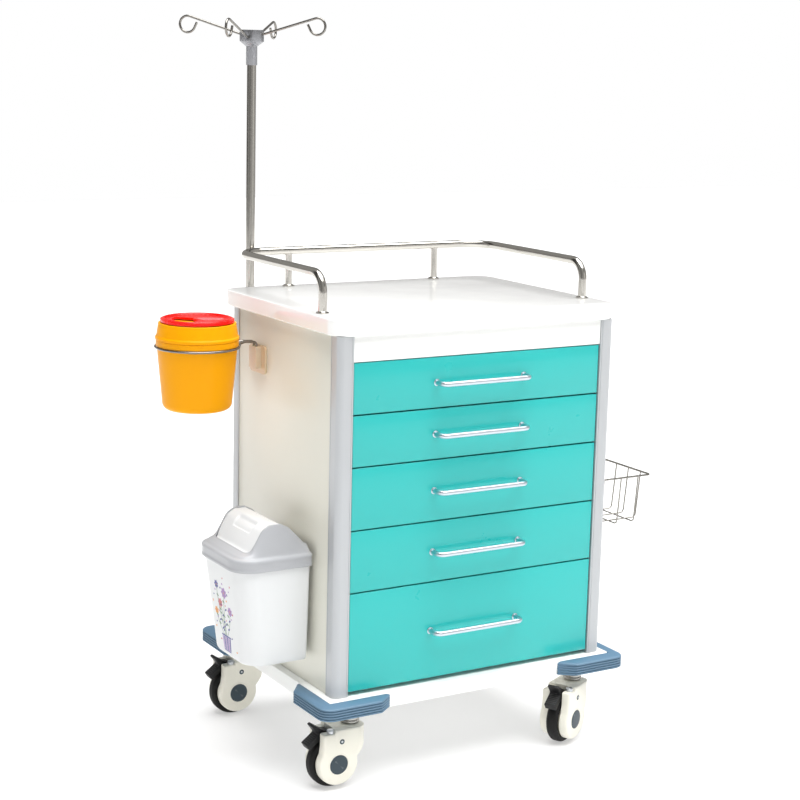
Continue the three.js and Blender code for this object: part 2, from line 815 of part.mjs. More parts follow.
function sharpsRing() {
  const ring = new THREE.TorusGeometry(sharps.ringRadius, sharps.ringWire / 2, 6, 36);
  const necks = [-1, 1].map((side) => {
    const y = (side * sharps.neckSpacing) / 2;
    const toPocket = pocketX - sharpsX;
    const path = [[sharps.ringRadius - 1, y, 0], [toPocket, y, 0], [toPocket, y, -34]];
    return wire(bentWire(path, 7, 3), sharps.ringWire, 6);
  });
  return fuse(ring, ...necks).translate(sharpsX, sharpsY, sharps.ringHeight);
}

const lidSeat = 14; // height of the container's rim above its ring

function sharpsBucket() {
  const { bottomRadius, bodyDepth, wall } = sharps;
  const profile = [
    [0, -bodyDepth],
    [bottomRadius - 12, -bodyDepth],
    [bottomRadius - 4, -bodyDepth + 3],
    [bottomRadius, -bodyDepth + 11],
    [bodyRadius, ringTop + gap],
    [bodyRadius + 2, ringTop + gap],
    [bodyRadius + 2, lidSeat],
    [bodyRadius - wall, lidSeat],
    [bottomRadius - wall, -bodyDepth + 12],
    [bottomRadius - 12, -bodyDepth + wall],
    [0, -bodyDepth + wall],
  ];
  return lathe(profile, 36);
}

const lidPlate = lidSeat + 24; // underside of the lid's recessed plate

function sharpsLid() {
  const low = lidSeat + gap;
  const profile = [
    [0, lidPlate],
    [bodyRadius - 8, lidPlate],
    [bodyRadius - 1, low],
    [bodyRadius + 3.2, low],
    [bodyRadius + 3.2, low + 5],
    [bodyRadius + 1.5, low + 8],
    [bodyRadius - 3, low + 32],
    [bodyRadius - 6.5, low + 32],
    [bodyRadius - 6.5, lidPlate + 3],
    [0, lidPlate + 3],
  ];
  const opening = pillar(24, lidPlate - 1, lidPlate + 4, 26, -18, 20);
  return carve(lathe(profile, 36), opening);
}

// The red cover turns in the lid's recess until its cut-out meets the lid's opening.
function sharpsDisc() {
  const low = lidPlate + 3 + gap;
  const profile = [
    [0, low],
    [bodyRadius - 7.5, low],
    [bodyRadius - 7.5, low + 6],
    [bodyRadius - 12, low + 14],
    [bodyRadius - 14.5, low + 14],
    [bodyRadius - 16, low + 4],
    [0, low + 4],
  ];
  const cutOut = pillar(26, low - 1, low + 5, -29, 13, 20);
  return carve(lathe(profile, 36), cutOut);
}

function buildSharps() {
  add("sharps_bracket", sharpsBracket(), finish.beigePlastic);
  add("sharps_ring", sharpsRing(), finish.stainless);
  const pieces = { sharps_bucket: sharpsBucket(), sharps_lid: sharpsLid(), sharps_lid_disc: sharpsDisc() };
  for (const [name, geometry] of Object.entries(pieces)) {
    const piece = add(name, geometry, name.endsWith("disc") ? finish.sharpsRed : finish.sharpsYellow);
    piece.position.set(sharpsX, sharpsY, sharps.ringHeight);
  }
}

// ---------------------------------------------------------------------------------------------------
// Waste bin on the left panel
// ---------------------------------------------------------------------------------------------------
const binY = frontEdge + bin.fromFront;
const binBack = -(panelX + bin.backToPanel); // outer face of the bin's back wall
const hangerOuter = -(panelX + gap + hanger.sheet);
const flangeX = binBack + gap; // outer face of the hanger's flange
const pivotX = binBack - bin.topDepth / 2 + 8;
const pivotZ = bin.skirtTop + bin.pivotHeight;

function binHanger() {
  const top = hanger.bottom + hanger.height;
  const half = hanger.width / 2;
  const plate = block(hangerOuter, -(panelX + gap), -half, half, hanger.bottom, top);
  const web = block(flangeX, hangerOuter + 1, -hanger.web / 2, hanger.web / 2, hanger.bottom, top);
  const flange = block(
    flangeX,
    flangeX + hanger.flangeSheet,
    -hanger.flange / 2,
    hanger.flange / 2,
    hanger.bottom,
    top,
  );
  return fuse(plate, web, flange).translate(0, binY, 0);
}

// The bin's outline at a height, shrunk by an inset: narrower and shallower towards the floor.
function binOutline(width, depth, inset) {
  const half = width / 2 - inset;
  const front = Math.max(bin.frontCorner - inset, 1);
  const back = Math.max(bin.backCorner - inset, 1);
  return roundedRectangle(binBack - depth + inset, binBack - inset, -half, half, [front, back, back, front]);
}

function taperedBin(inset, z0, z1) {
  const geometry = extrudeZ(binOutline(bin.topWidth, bin.topDepth, inset), z0, z1, 4);
  const position = geometry.getAttribute("position");
  for (let i = 0; i < position.count; i++) {
    const down = (bin.rim - position.getZ(i)) / (bin.rim - bin.floor);
    const acrossScale = 1 + (bin.bottomWidth / bin.topWidth - 1) * down;
    const outScale = 1 + (bin.bottomDepth / bin.topDepth - 1) * down;
    position.setX(i, binBack + (position.getX(i) - binBack) * outScale);
    position.setY(i, position.getY(i) * acrossScale);
  }
  return geometry;
}

// The channel on the bin's back slides down over the hanger's flange.
function binChannel() {
  const half = hanger.flange / 2 + hanger.clearance;
  const lipInner = flangeX + hanger.flangeSheet + hanger.clearance;
  const lipOuter = hangerOuter - 2 * gap;
  const low = hanger.bottom + 4;
  const high = hanger.bottom + hanger.height + 6;
  const inner = hanger.web / 2 + 2;
  const wall = 3;
  const ribs = [-1, 1].flatMap((side) => {
    const spans = (a, b) => [side * a, side * b].sort((p, q) => p - q);
    return [
      block(binBack - 1, lipOuter, ...spans(half, half + wall), low, high),
      block(lipInner, lipOuter, ...spans(inner, half + wall), low, high),
    ];
  });
  const stop = block(binBack - 1, lipOuter, -half - wall, half + wall, hanger.bottom + hanger.height + gap, high);
  return [...ribs, stop];
}

function binBody() {
  const hollow = taperedBin(bin.wall, bin.floor + bin.wall, bin.rim + 1);
  const shell = carve(taperedBin(0, bin.floor, bin.rim), hollow);
  return fuse(shell, ...binChannel()).translate(0, binY, 0);
}

// The roof line of the lid, from its front foot over the ridge to its back foot, moved in by an inset.
function roofLine(inset) {
  const front = binBack - bin.topDepth + bin.shoulderDepth;
  const back = binBack - 4;
  const foot = bin.skirtTop + 9;
  const ridge = bin.skirtTop + bin.domeHeight - inset;
  const line = [[front + inset * 0.8, foot - inset * 0.6]];
  const crown = 14;
  const steps = 6;
  const crownHalf = 26;
  for (let step = 0; step <= steps; step++) {
    const share = (2 * step) / steps - 1;
    line.push([pivotX + share * crownHalf, ridge - crown * 0.75 * share * share]);
  }
  line.push([back - inset * 0.8, foot + 5 - inset * 0.6]);
  return line;
}

// A skirt that fits over the bin's rim, a shoulder, and a gable at each end of the roof.
function binLid() {
  const lip = bin.skirtLip;
  const frontEdgeX = binBack - bin.topDepth - lip;
  const outer = (inset) => {
    const half = bin.topWidth / 2 + lip - inset;
    const front = bin.frontCorner + lip - inset;
    const radii = [front, bin.backCorner, bin.backCorner, front];
    return roundedRectangle(frontEdgeX + inset, binBack + 3 - inset, -half, half, radii);
  };
  const skirt = carve(
    extrudeZ(outer(0), bin.skirtBottom, bin.skirtTop, 4),
    extrudeZ(outer(bin.skirtWall), bin.skirtBottom - 1, bin.rim + gap, 4),
  );
  const shoulder = extrudeZ(outer(1), bin.skirtTop - 1, bin.skirtTop + bin.shoulderHeight, 4);
  const position = shoulder.getAttribute("position");
  for (let i = 0; i < position.count; i++) {
    if (position.getZ(i) < bin.skirtTop) continue;
    const depthShare = (binBack - position.getX(i)) / (binBack - frontEdgeX);
    position.setX(i, position.getX(i) + (bin.shoulderDepth + 1) * depthShare);
    position.setY(i, position.getY(i) * (1 - bin.gableInset / (bin.topWidth / 2)));
  }
  const roof = roofLine(0);
  const frontX = roof[0][0];
  const backX = roof.at(-1)[0];
  const foot = bin.topWidth / 2 + lip - bin.gableInset;
  const low = bin.skirtTop - 1;
  const gable = polygon([[frontX - 5, low], ...roof, [backX + 2, low]]);
  const ridge = bin.skirtTop + bin.domeHeight;
  const atRidge = foot - bin.domeLean;
  const crossSection = polygon([[-foot, low], [foot, low], [atRidge, ridge], [-atRidge, ridge]]);
  const dome = overlapOf(extrudeY(gable, -foot, foot), extrudeX(crossSection, frontX - 6, backX + 3));
  const { gableInner } = bin;
  const mouth = block(frontX - 1.5, backX + 1.5, -gableInner, gableInner, bin.rim, ridge + 1);
  const pin = bin.pivotDiameter / 2 + gap;
  const pivots = new THREE.CylinderGeometry(pin, pin, 2 * gableInner + 8, 12).translate(pivotX, 0, pivotZ);
  return carve(fuse(skirt, shoulder, dome), mouth, pivots).translate(0, binY, 0);
}

// The swing flap is a roof-shaped shell that hangs on two short pins between the gables.
function binFlap() {
  const half = bin.gableInner - bin.flapClearance;
  const outside = roofLine(0.5);
  const inside = roofLine(0.5 + bin.flapWall);
  const shell = extrudeY(polygon([...outside, ...inside.reverse()]), -half, half);
  const web = polygon([
    [pivotX - 22, bin.skirtTop + bin.domeHeight - 9],
    [pivotX - 6, pivotZ - 6],
    [pivotX + 6, pivotZ - 6],
    [pivotX + 22, bin.skirtTop + bin.domeHeight - 9],
    [pivotX, bin.skirtTop + bin.domeHeight - 1.5],
  ]);
  const webs = [extrudeY(web, -half, -half + 3), extrudeY(web, half - 3, half)];
  const pins = [-1, 1].map((side) => {
    const pin = new THREE.CylinderGeometry(bin.pivotDiameter / 2, bin.pivotDiameter / 2, 5, 12);
    return pin.translate(pivotX, side * (half + 1.5), pivotZ);
  });
  return fuse(shell, ...webs, ...pins).translate(0, binY, 0);
}

function buildBin() {
  add("bin_hanger", binHanger(), finish.zincSteel);
  add("bin_body", binBody(), finish.binWhite);
  add("bin_lid", binLid(), finish.binGrey);
  add("bin_flap", binFlap(), finish.binWhite);
}

// ---------------------------------------------------------------------------------------------------
// Wire basket on the right panel
// ---------------------------------------------------------------------------------------------------
function wireBasket() {
  const near = frontEdge + basket.fromFront;
  const far = near + basket.length;
  const back = sideX + gap + basket.rimWire / 2 + 0.7;
  const outer = back + basket.depth;
  const { top, taper } = basket;
  const floor = top - basket.height;
  const middle = (near + far) / 2;
  const halfRim = (y) => {
    const pastMiddle = middle - 3 * Math.sign(y - middle);
    return [[back, pastMiddle, top], [back, y, top], [outer, y, top], [outer, middle, top]];
  };
  const rims = [near, far].map((y) => {
    return wire(bentWire(halfRim(y), 6, 3), basket.rimWire, 6);
  });
  const weld = bentWire([[outer, middle - 4, top], [outer, middle + 4, top]], 1);
  const across = Array.from({ length: basket.acrossCount }, (_, index) => {
    const y = middle + (index - (basket.acrossCount - 1) / 2) * basket.acrossPitch;
    const path = [[back, y, top], [back + taper / 3, y, floor], [outer - taper, y, floor], [outer, y, top]];
    return wire(bentWire(path, basket.bend, 2), basket.wire, 6);
  });
  const along = Array.from({ length: basket.alongCount }, (_, index) => {
    const x = outer - basket.alongFirst - index * basket.alongPitch;
    const low = floor - basket.wire * 0.7;
    const path = [[x, near, top], [x, near + taper, low], [x, far - taper, low], [x, far, top]];
    return wire(bentWire(path, basket.bend, 2), basket.wire, 6);
  });
  const plateX = panelX + gap;
  const plates = [-1, 1].map((side) => {
    const y = middle + side * basket.acrossPitch * 1.5;
    const half = basket.plateWidth / 2;
    return block(plateX, plateX + basket.plateSheet + 1.5, y - half, y + half, top - 30, top + 6);
  });
  return fuse(...rims, wire(weld, basket.rimWire, 6), ...across, ...along, ...plates);
}

// ---------------------------------------------------------------------------------------------------
// Casters
// ---------------------------------------------------------------------------------------------------
function casterPlace(corner) {
  const x = corner.x * (worktop.width / 2 - caster.stemFromSide);
  const y = corner.y * (worktop.depth / 2 - caster.stemFromFront);
  return [x, y];
}

const pedalPivot = { x: -54, z: housingTop - 12.5 };

// Two round cheeks and a head block; the swivel axis is X = 0 and the wheel trails towards -X.
function casterHousing() {
  const { trail, wheelRadius, backReach, headFrontX, shoulderX, cheekStartAngle, cheekEndAngle } = caster;
  const cheekRadius = caster.cheekShare * wheelRadius;
  const shoulderZ = housingTop - caster.shoulderDrop;
  const flankZ = housingTop - 30;
  const side = new THREE.Shape();
  side.moveTo(backReach, housingTop);
  side.lineTo(headFrontX, housingTop);
  side.lineTo(headFrontX, shoulderZ);
  side.lineTo(shoulderX, shoulderZ);
  side.lineTo(shoulderX, flankZ);
  const cheekStartX = -trail - cheekRadius * Math.cos(cheekStartAngle);
  side.lineTo(cheekStartX, wheelRadius + cheekRadius * Math.sin(cheekStartAngle));
  side.absarc(-trail, wheelRadius, cheekRadius, Math.PI - cheekStartAngle, 2 * Math.PI + cheekEndAngle);
  side.lineTo(backReach, flankZ - 4);
  const half = caster.housingWidth / 2;
  const plan = roundedRectangle(-trail - cheekRadius - 1, backReach, -half, half, [12, 20, 20, 12]);
  const whole = overlapOf(extrudeY(side, -half, half, 7), extrudeZ(plan, 0, housingTop + 1, 3));
  const slotHalf = caster.slot / 2;
  const wheelWell = crossPin(wheelRadius + caster.wheelClearance, slotHalf, -trail, wheelRadius, 24);
  const pedalWell = block(-trail - cheekRadius - 2, -44, -slotHalf, slotHalf, wheelRadius + 10, housingTop + 1);
  const kingpinBore = pillar(caster.kingpin / 2 + caster.pinClearance, wheelRadius + 30, housingTop + 1, 0, 0, 16);
  const axle = crossPin(caster.axle / 2, half - 6, -trail, wheelRadius, 12);
  const pedalPin = crossPin(caster.pedalPin / 2, half - 8, pedalPivot.x, pedalPivot.z, 12);
  return fuse(carve(whole, wheelWell, pedalWell, kingpinBore), axle, pedalPin);
}

function casterWheel() {
  const { wheelRadius, tyreWidth, axle, pinClearance } = caster;
  const bore = axle / 2 + pinClearance;
  const half = tyreWidth / 2;
  const profile = [
    [bore, -half],
    [wheelRadius - 4, -half],
    [wheelRadius, -half + 5],
    [wheelRadius, half - 5],
    [wheelRadius - 4, half],
    [bore, half],
    [bore, -half],
  ];
  const sides = 24;
  const halfStep = Math.PI / sides;
  const circumscribed = 1 / Math.cos(halfStep); // a flat of the tread lies on the floor
  const points = profile.map(([radius, height]) => new THREE.Vector2(radius * circumscribed, height));
  return new THREE.LatheGeometry(points, sides).rotateY(halfStep).translate(-caster.trail, 0, wheelRadius);
}

// A rocker with an upper and a lower wing: pressing a wing locks or frees the wheel.
function brakePedal() {
  const aroundPivot = [
    [7, -1.5],
    [6, 5.5],
    [-6, 8.5],
    [-26, 21.5],
    [-30, 18.5],
    [-18, 2.5],
    [-42, -15.5],
    [-35, -26.5],
    [-27, -18.5],
    [-18, -12.5],
    [-6, -7.5],
    [4, -6.5],
  ];
  const outline = aroundPivot.map(([x, z]) => [pedalPivot.x + x, pedalPivot.z + z]);
  const half = caster.pedalWidth / 2;
  const bore = crossPin(caster.pedalPin / 2 + caster.pinClearance, half + 1, pedalPivot.x, pedalPivot.z, 12);
  return carve(extrudeY(polygon(outline), -half, half), bore);
}

function buildCasters() {
  for (const corner of corners) {
    const unit = new THREE.Group();
    const [x, y] = casterPlace(corner);
    unit.position.set(x, y, 0);
    if (corner.name === "front_right") unit.rotation.z = frontRightSwivel;
    cart.add(unit);
    add(corner.name + "_caster_housing", casterHousing(), finish.casterPlastic, unit);
    add(corner.name + "_caster_wheel", casterWheel(), finish.tyreRubber, unit);
    add(corner.name + "_brake_pedal", brakePedal(), finish.blackPlastic, unit);
  }
}

buildCabinet();
buildDrawers();
buildTop();
buildSharps();
buildBin();
add("wire_basket", wireBasket(), finish.stainless);
buildCasters();

// The origin is the middle of the underside of the cart's box.
cart.updateMatrixWorld(true);
const bounds = new THREE.Box3().setFromObject(cart, true);
const middle = bounds.getCenter(new THREE.Vector3());
cart.position.set(-middle.x, -middle.y, -bounds.min.z);

export default cart;
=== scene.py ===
"""A hospital crash cart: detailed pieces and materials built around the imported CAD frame.

Shapes are worked out in millimetres in the cart's own frame (X right, Y back from the middle of the worktop,
Z up from the floor) and turned into metres in the row frame when each piece is made.
"""
import json
import math

import bmesh
import bpy
from mathutils import Matrix, Vector


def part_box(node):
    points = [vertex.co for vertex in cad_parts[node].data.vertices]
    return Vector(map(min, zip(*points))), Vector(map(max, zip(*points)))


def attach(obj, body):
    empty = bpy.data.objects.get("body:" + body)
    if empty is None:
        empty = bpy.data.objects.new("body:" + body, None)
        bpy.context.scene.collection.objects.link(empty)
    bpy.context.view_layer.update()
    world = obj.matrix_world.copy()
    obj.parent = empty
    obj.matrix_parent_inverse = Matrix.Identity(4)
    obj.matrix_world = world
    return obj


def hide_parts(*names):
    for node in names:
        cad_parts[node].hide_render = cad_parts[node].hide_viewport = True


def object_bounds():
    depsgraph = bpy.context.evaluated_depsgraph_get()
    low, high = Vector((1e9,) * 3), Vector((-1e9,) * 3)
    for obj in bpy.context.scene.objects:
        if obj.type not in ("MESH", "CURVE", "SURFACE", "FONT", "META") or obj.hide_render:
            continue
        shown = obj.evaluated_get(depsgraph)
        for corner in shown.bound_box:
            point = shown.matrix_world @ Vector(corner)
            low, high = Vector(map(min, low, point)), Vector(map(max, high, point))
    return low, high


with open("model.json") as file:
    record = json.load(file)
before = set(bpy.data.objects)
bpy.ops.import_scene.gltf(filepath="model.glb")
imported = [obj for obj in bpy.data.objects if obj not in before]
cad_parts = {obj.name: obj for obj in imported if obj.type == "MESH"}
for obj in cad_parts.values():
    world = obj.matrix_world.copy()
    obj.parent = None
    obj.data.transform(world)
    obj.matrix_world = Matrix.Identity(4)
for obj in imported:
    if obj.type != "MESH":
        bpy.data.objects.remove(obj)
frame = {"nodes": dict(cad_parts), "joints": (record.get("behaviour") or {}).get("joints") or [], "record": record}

CAD_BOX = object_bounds()
MM = 0.001
GAP = 0.3

worktop_low, worktop_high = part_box("worktop")
ORIGIN = Vector(((worktop_low.x + worktop_high.x) / 2, (worktop_low.y + worktop_high.y) / 2, 0))


def span(node):
    """A CAD node's lowest and highest corners in millimetres in the cart's frame."""
    low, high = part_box(node)
    return (low - ORIGIN) / MM, (high - ORIGIN) / MM


# ---- Materials ----
def linear(*srgb):
    """An sRGB colour given as 0 to 255, as linear values."""
    values = [c / 255 for c in srgb]
    return [c / 12.92 if c <= 0.04045 else ((c + 0.055) / 1.055) ** 2.4 for c in values]


NO_HIGHLIGHT, FULL_HIGHLIGHT = 0.53, 0.62  # how convex a place is where the painted edge highlight starts and where it is full
ROOM_FOR_RELIEF = 0.001  # metres that the bump texture spans


def set_inputs(tree, node, values):
    """Sets a shader node's inputs by name. A value that is another node's output is linked."""
    for name, value in values.items():
        if isinstance(value, bpy.types.NodeSocket):
            tree.links.new(value, node.inputs[name])
        else:
            node.inputs[name].default_value = value


def add_node(tree, kind, values, output, **settings):
    """Adds a shader node and gives its named output."""
    node = tree.nodes.new("ShaderNode" + kind)
    for name, value in settings.items():
        setattr(node, name, value)
    set_inputs(tree, node, values)
    return node.outputs[output]


def material(name, colour, roughness, metallic=0.0, mottle=0.03, spread=0.06, bump=0.02, grain=900.0,
             stretch=(1, 1, 1), coat=0.0, specular=0.5, subsurface=0.0, edge_highlight=0.12):
    """A finish whose colour, roughness and surface vary with noise.

    colour is linear. mottle is the share by which it varies, spread the range of the roughness, grain the
    number of bumps in a metre, and stretch squeezes the grain along X, Y and Z, so a small one draws it out.
    The last argument is how far the colour is lightened along convex edges, a painted highlight.
    """
    made = bpy.data.materials.new(name)
    made.use_nodes = True
    tree = made.node_tree
    place = add_node(tree, "TexCoord", {}, "Object")
    scaled = add_node(tree, "Mapping", {"Vector": place, "Scale": stretch}, "Vector")

    def noise(frequency, detail):
        return add_node(tree, "TexNoise", {"Vector": scaled, "Scale": frequency, "Detail": detail}, "Fac")

    darker = [c * (1 - mottle) for c in colour] + [1]
    lighter = [min(1, c * (1 + mottle)) for c in colour] + [1]
    # Painted highlight: convex edges are lightened toward this paler colour.
    highlight_colour = [0.5 + 0.5 * c for c in colour] + [1]
    tint = add_node(tree, "Mix", {"A": darker, "B": lighter, "Factor": noise(7.0, 4.0)}, "Result",
                    data_type="RGBA")
    # Painted highlight mask: how convex each place is.
    convex = add_node(tree, "NewGeometry", {}, "Pointiness")
    edges = add_node(tree, "MapRange", {"Value": convex, "From Min": NO_HIGHLIGHT, "From Max": FULL_HIGHLIGHT,
                                        "To Max": edge_highlight}, "Result")
    highlighted = add_node(tree, "Mix", {"A": tint, "B": highlight_colour, "Factor": edges}, "Result", data_type="RGBA")
    shine = add_node(tree, "MapRange", {"Value": noise(grain / 12, 5.0),
                                        "To Min": max(0.02, roughness - spread / 2),
                                        "To Max": roughness + spread / 2}, "Result")
    relief = add_node(tree, "Bump", {"Height": noise(grain, 3.0), "Strength": bump,
                                     "Distance": ROOM_FOR_RELIEF}, "Normal")
    shader = tree.nodes["Principled BSDF"]
    set_inputs(tree, shader, {
        "Base Color": highlighted, "Roughness": shine, "Normal": relief, "Metallic": metallic,
        "Specular IOR Level": specular, "Coat Weight": coat, "Coat Roughness": 0.08})
    if subsurface:
        set_inputs(tree, shader, {"Subsurface Weight": subsurface, "Subsurface Radius": (1, 0.6, 0.3),
                                  "Subsurface Scale": 0.006})
    made["finish_slot"] = name
    return made


ALONG_Z = (1, 1, 0.03)  # draws the grain out along Z

FINISHES = {  # slot: colour, roughness and the rest
    "white_worktop_plastic": ((250, 250, 249), 0.16, dict(bump=0.02, grain=200, coat=0.4)),
    "white_enamel": ((247, 248, 246), 0.3, dict(bump=0.03, grain=230, coat=0.15)),
    "cream_enamel": ((222, 221, 209), 0.33, dict(bump=0.03, grain=230, coat=0.1)),
    "teal_enamel": ((8, 186, 182), 0.28, dict(mottle=0.012, spread=0.03, bump=0.015, grain=200, coat=0.25)),
    "zinc_plated_steel": ((196, 199, 203), 0.34, dict(metallic=1.0, mottle=0.06, spread=0.15, bump=0.04,
                                                      grain=1200)),
    "stainless_steel": ((190, 187, 181), 0.17, dict(metallic=1.0, mottle=0.04, spread=0.1, bump=0.03,
                                                    grain=1500, stretch=ALONG_Z)),
    "satin_aluminium": ((186, 189, 192), 0.42, dict(metallic=0.35, spread=0.1, bump=0.05, grain=1400,
                                                    stretch=ALONG_Z)),
    "cast_metal": ((150, 151, 155), 0.36, dict(metallic=0.9, mottle=0.1, spread=0.2, bump=0.4, grain=700)),
    "blue_grey_plastic": ((88, 121, 146), 0.5, dict(mottle=0.05, bump=0.12, grain=900)),
    "cream_plastic": ((240, 237, 224), 0.3, dict(bump=0.05, grain=800)),
    "black_tyre": ((13, 12, 11), 0.6, dict(mottle=0.15, spread=0.2, bump=0.2, grain=1100, specular=0.3)),
    "black_plastic": ((11, 12, 14), 0.5, dict(mottle=0.12, spread=0.12, bump=0.15, grain=1200,
                                              specular=0.28)),
    "beige_plastic": ((212, 192, 162), 0.25, dict(bump=0.04, grain=500, subsurface=0.2)),
    "yellow_plastic": ((246, 166, 0), 0.36, dict(bump=0.05, grain=700, specular=0.12)),
    "red_plastic": ((252, 12, 4), 0.27, dict(bump=0.05, grain=700, specular=0.3)),
    "grey_plastic": ((178, 180, 184), 0.3, dict(bump=0.06, grain=800)),
    "white_plastic": ((228, 230, 231), 0.28, dict(mottle=0.008, spread=0.02, bump=0.01, grain=400)),
}
FINISH = {slot: material(slot, linear(*colour), roughness, **rest)
          for slot, (colour, roughness, rest) in FINISHES.items()}

# Finishes for pieces whose look differs from their slot's.
SLATE = material("slate_cap", linear(44, 60, 70), 0.4, mottle=0.08, bump=0.1, grain=1300)
DRAWN_WIRE = material("drawn_wire", linear(138, 135, 130), 0.24, metallic=1.0, mottle=0.05, spread=0.1,
                      bump=0.03, grain=1500)
SATIN_BAR = material("satin_bar", linear(206, 212, 220), 0.3, metallic=1.0, mottle=0.02, spread=0.05,
                     bump=0.01, grain=600)
RACEWAY = material("raceway_steel", linear(168, 166, 162), 0.2, metallic=1.0, mottle=0.08, spread=0.15,
                   bump=0.05, grain=1100)
# The door's red plastic is lightened to pink as a painted sheen, on top of its real gloss.
SHEEN_RED = material("glossy_door_painted_sheen", linear(240, 88, 92), 0.12, bump=0.05, grain=300, coat=0.6)
INKS = {  # colour and mottle
    "violet": ((168, 130, 190), 0.15),
    "indigo": ((70, 74, 150), 0.15),
    "orange": ((232, 160, 70), 0.12),
    "rose": ((205, 110, 120), 0.12),
    "green": ((120, 150, 120), 0.12),
}
INK = {ink: material("print_" + ink, linear(*colour), 0.5, mottle=mottle)
       for ink, (colour, mottle) in INKS.items()}


# ---- Shapes: each makes a bmesh in millimetres ----
def unit(vector):
    return vector.normalized() if vector.length > 1e-9 else vector


def soften(points, radius, steps=6, closed=True):
    """The outline with an arc of that radius at each corner; radius may be a list with one value a corner."""
    corners = [Vector(p) for p in points]
    count = len(corners)
    out = []
    for i, corner in enumerate(corners):
        r = radius[i] if isinstance(radius, (list, tuple)) else radius
        if r <= 0 or (not closed and i in (0, count - 1)):
            out.append(corner)
            continue
        before, after = corners[i - 1], corners[(i + 1) % count]
        to_before, to_after = unit(before - corner), unit(after - corner)
        angle = to_before.angle(to_after)
        if angle > math.pi - 0.02 or angle < 0.02:
            out.append(corner)
            continue
        reach = min(r / math.tan(angle / 2), 0.49 * (before - corner).length, 0.49 * (after - corner).length)
        centre = corner + unit(to_before + to_after) * (reach / math.cos(angle / 2))
        start = corner + to_before * reach - centre
        end = corner + to_after * reach - centre
        turn = start.angle(end)
        for step in range(steps + 1):
            share = step / steps
            weight_start = math.sin((1 - share) * turn) / math.sin(turn)
            weight_end = math.sin(share * turn) / math.sin(turn)
            out.append(centre + start * weight_start + end * weight_end)
    return out


def rectangle(x0, x1, y0, y1, radius=0, steps=8):
    return soften([(x0, y0), (x1, y0), (x1, y1), (x0, y1)], radius, steps)


def circle(radius, sides, x=0.0, y=0.0):
    turns = [2 * math.pi * i / sides for i in range(sides)]
    return [Vector((x + radius * math.cos(turn), y + radius * math.sin(turn))) for turn in turns]


def loft(loops, caps=True, closed_path=False):
    """A skin through loops of points that all have the same number of points."""
    bm = bmesh.new()
    rings = [[bm.verts.new(p) for p in loop] for loop in loops]
    pairs = list(zip(rings, rings[1:]))
    if closed_path:
        pairs.append((rings[-1], rings[0]))
    for lower, upper in pairs:
        for i in range(len(lower)):
            j = (i + 1) % len(lower)
            bm.faces.new((lower[i], lower[j], upper[j], upper[i]))
    if caps and not closed_path:
        bm.faces.new(rings[0])
        bm.faces.new(rings[-1])
    bmesh.ops.recalc_face_normals(bm, faces=bm.faces)
    return bm


def raised(outline, z):
    return [Vector((p.x, p.y, z)) for p in outline]


def round_edges(bm, width, segments=3, angle=30):
    """Rounds the edges that turn by more than the angle, in degrees."""
    limit = math.radians(angle)
    edges = [e for e in bm.edges if len(e.link_faces) == 2 and e.calc_face_angle(0) > limit]
    bmesh.ops.bevel(bm, geom=edges, offset=width, segments=segments, profile=0.5, affect="EDGES",
                    clamp_overlap=True)
    return bm


def prism(outline, z0, z1, edge=0.0, segments=3, angle=40):
    bm = loft([raised(outline, z0), raised(outline, z1)])
    return round_edges(bm, edge, segments, angle) if edge else bm


def rounded_block(low, high, edge=1.5, segments=3):
    return prism(rectangle(low[0], high[0], low[1], high[1]), low[2], high[2], edge, segments)


def revolve(profile, sides=64):
    """A solid of revolution about Z from points (radius, height), from axis to axis or closed on itself."""
    bm = bmesh.new()
    rings = []
    for radius, height in profile:
        if radius < 1e-6:
            rings.append([bm.verts.new((0, 0, height))])
        else:
            rings.append([bm.verts.new((p.x, p.y, height)) for p in circle(radius, sides)])
    pairs = list(zip(rings, rings[1:]))
    if profile[0][0] > 1e-6:
        pairs.append((rings[-1], rings[0]))
    for lower, upper in pairs:
        for i in range(sides):
            j = (i + 1) % sides
            if len(lower) == 1 and len(upper) > 1:
                bm.faces.new((lower[0], upper[j], upper[i]))
            elif len(upper) == 1 and len(lower) > 1:
                bm.faces.new((lower[i], lower[j], upper[0]))
            elif len(upper) > 1:
                bm.faces.new((lower[i], lower[j], upper[j], upper[i]))
    bmesh.ops.recalc_face_normals(bm, faces=bm.faces)
    return bm


def spun(points, sides):
    """A solid of revolution from a profile of vectors."""
    return revolve([(p.x, p.y) for p in points], sides)


def turned(profile, sides=64, radius=1.0, steps=4):
    """A solid of revolution with its profile's corners rounded."""
    closed = profile[0][0] > 1e-6
    return spun(soften(profile, radius, steps, closed), sides)


def sweep(points, radius, sides=16, closed=False):
    """A round bar along points."""
    points = [Vector(p) for p in points]
    count = len(points)

    def direction(i):
        if closed:
            return unit(points[(i + 1) % count] - points[i - 1])
        return unit(points[min(i + 1, count - 1)] - points[max(i - 1, 0)])

    normal = unit(direction(0).orthogonal())
    loops = []
    for i in range(count):
        along = direction(i)
        normal = unit(normal - along * normal.dot(along))
        side = along.cross(normal)
        loops.append([points[i] + (normal * c.x + side * c.y) for c in circle(radius, sides)])
    return loft(loops, caps=not closed, closed_path=closed)


def bent(corners, radius, steps=8):
    return soften(corners, radius, steps, closed=False)


def moved(bm, x=0.0, y=0.0, z=0.0, turn=0.0, axis="Z"):
    """The shape turned about an axis through its origin by degrees, then moved."""
    matrix = Matrix.Translation((x, y, z)) @ Matrix.Rotation(math.radians(turn), 4, axis)
    bmesh.ops.transform(bm, matrix=matrix, verts=bm.verts)
    return bm


def lying(bm):
    """The shape with its Z axis laid along Y: (x, y, z) becomes (x, -z, y)."""
    return moved(bm, turn=90, axis="X")


def together(*shapes):
    """One bmesh that holds all the shapes."""
    whole = shapes[0]
    for shape in shapes[1:]:
        mesh = bpy.data.meshes.new("joined")
        shape.to_mesh(mesh)
        shape.free()
        whole.from_mesh(mesh)
        bpy.data.meshes.remove(mesh)
    return whole


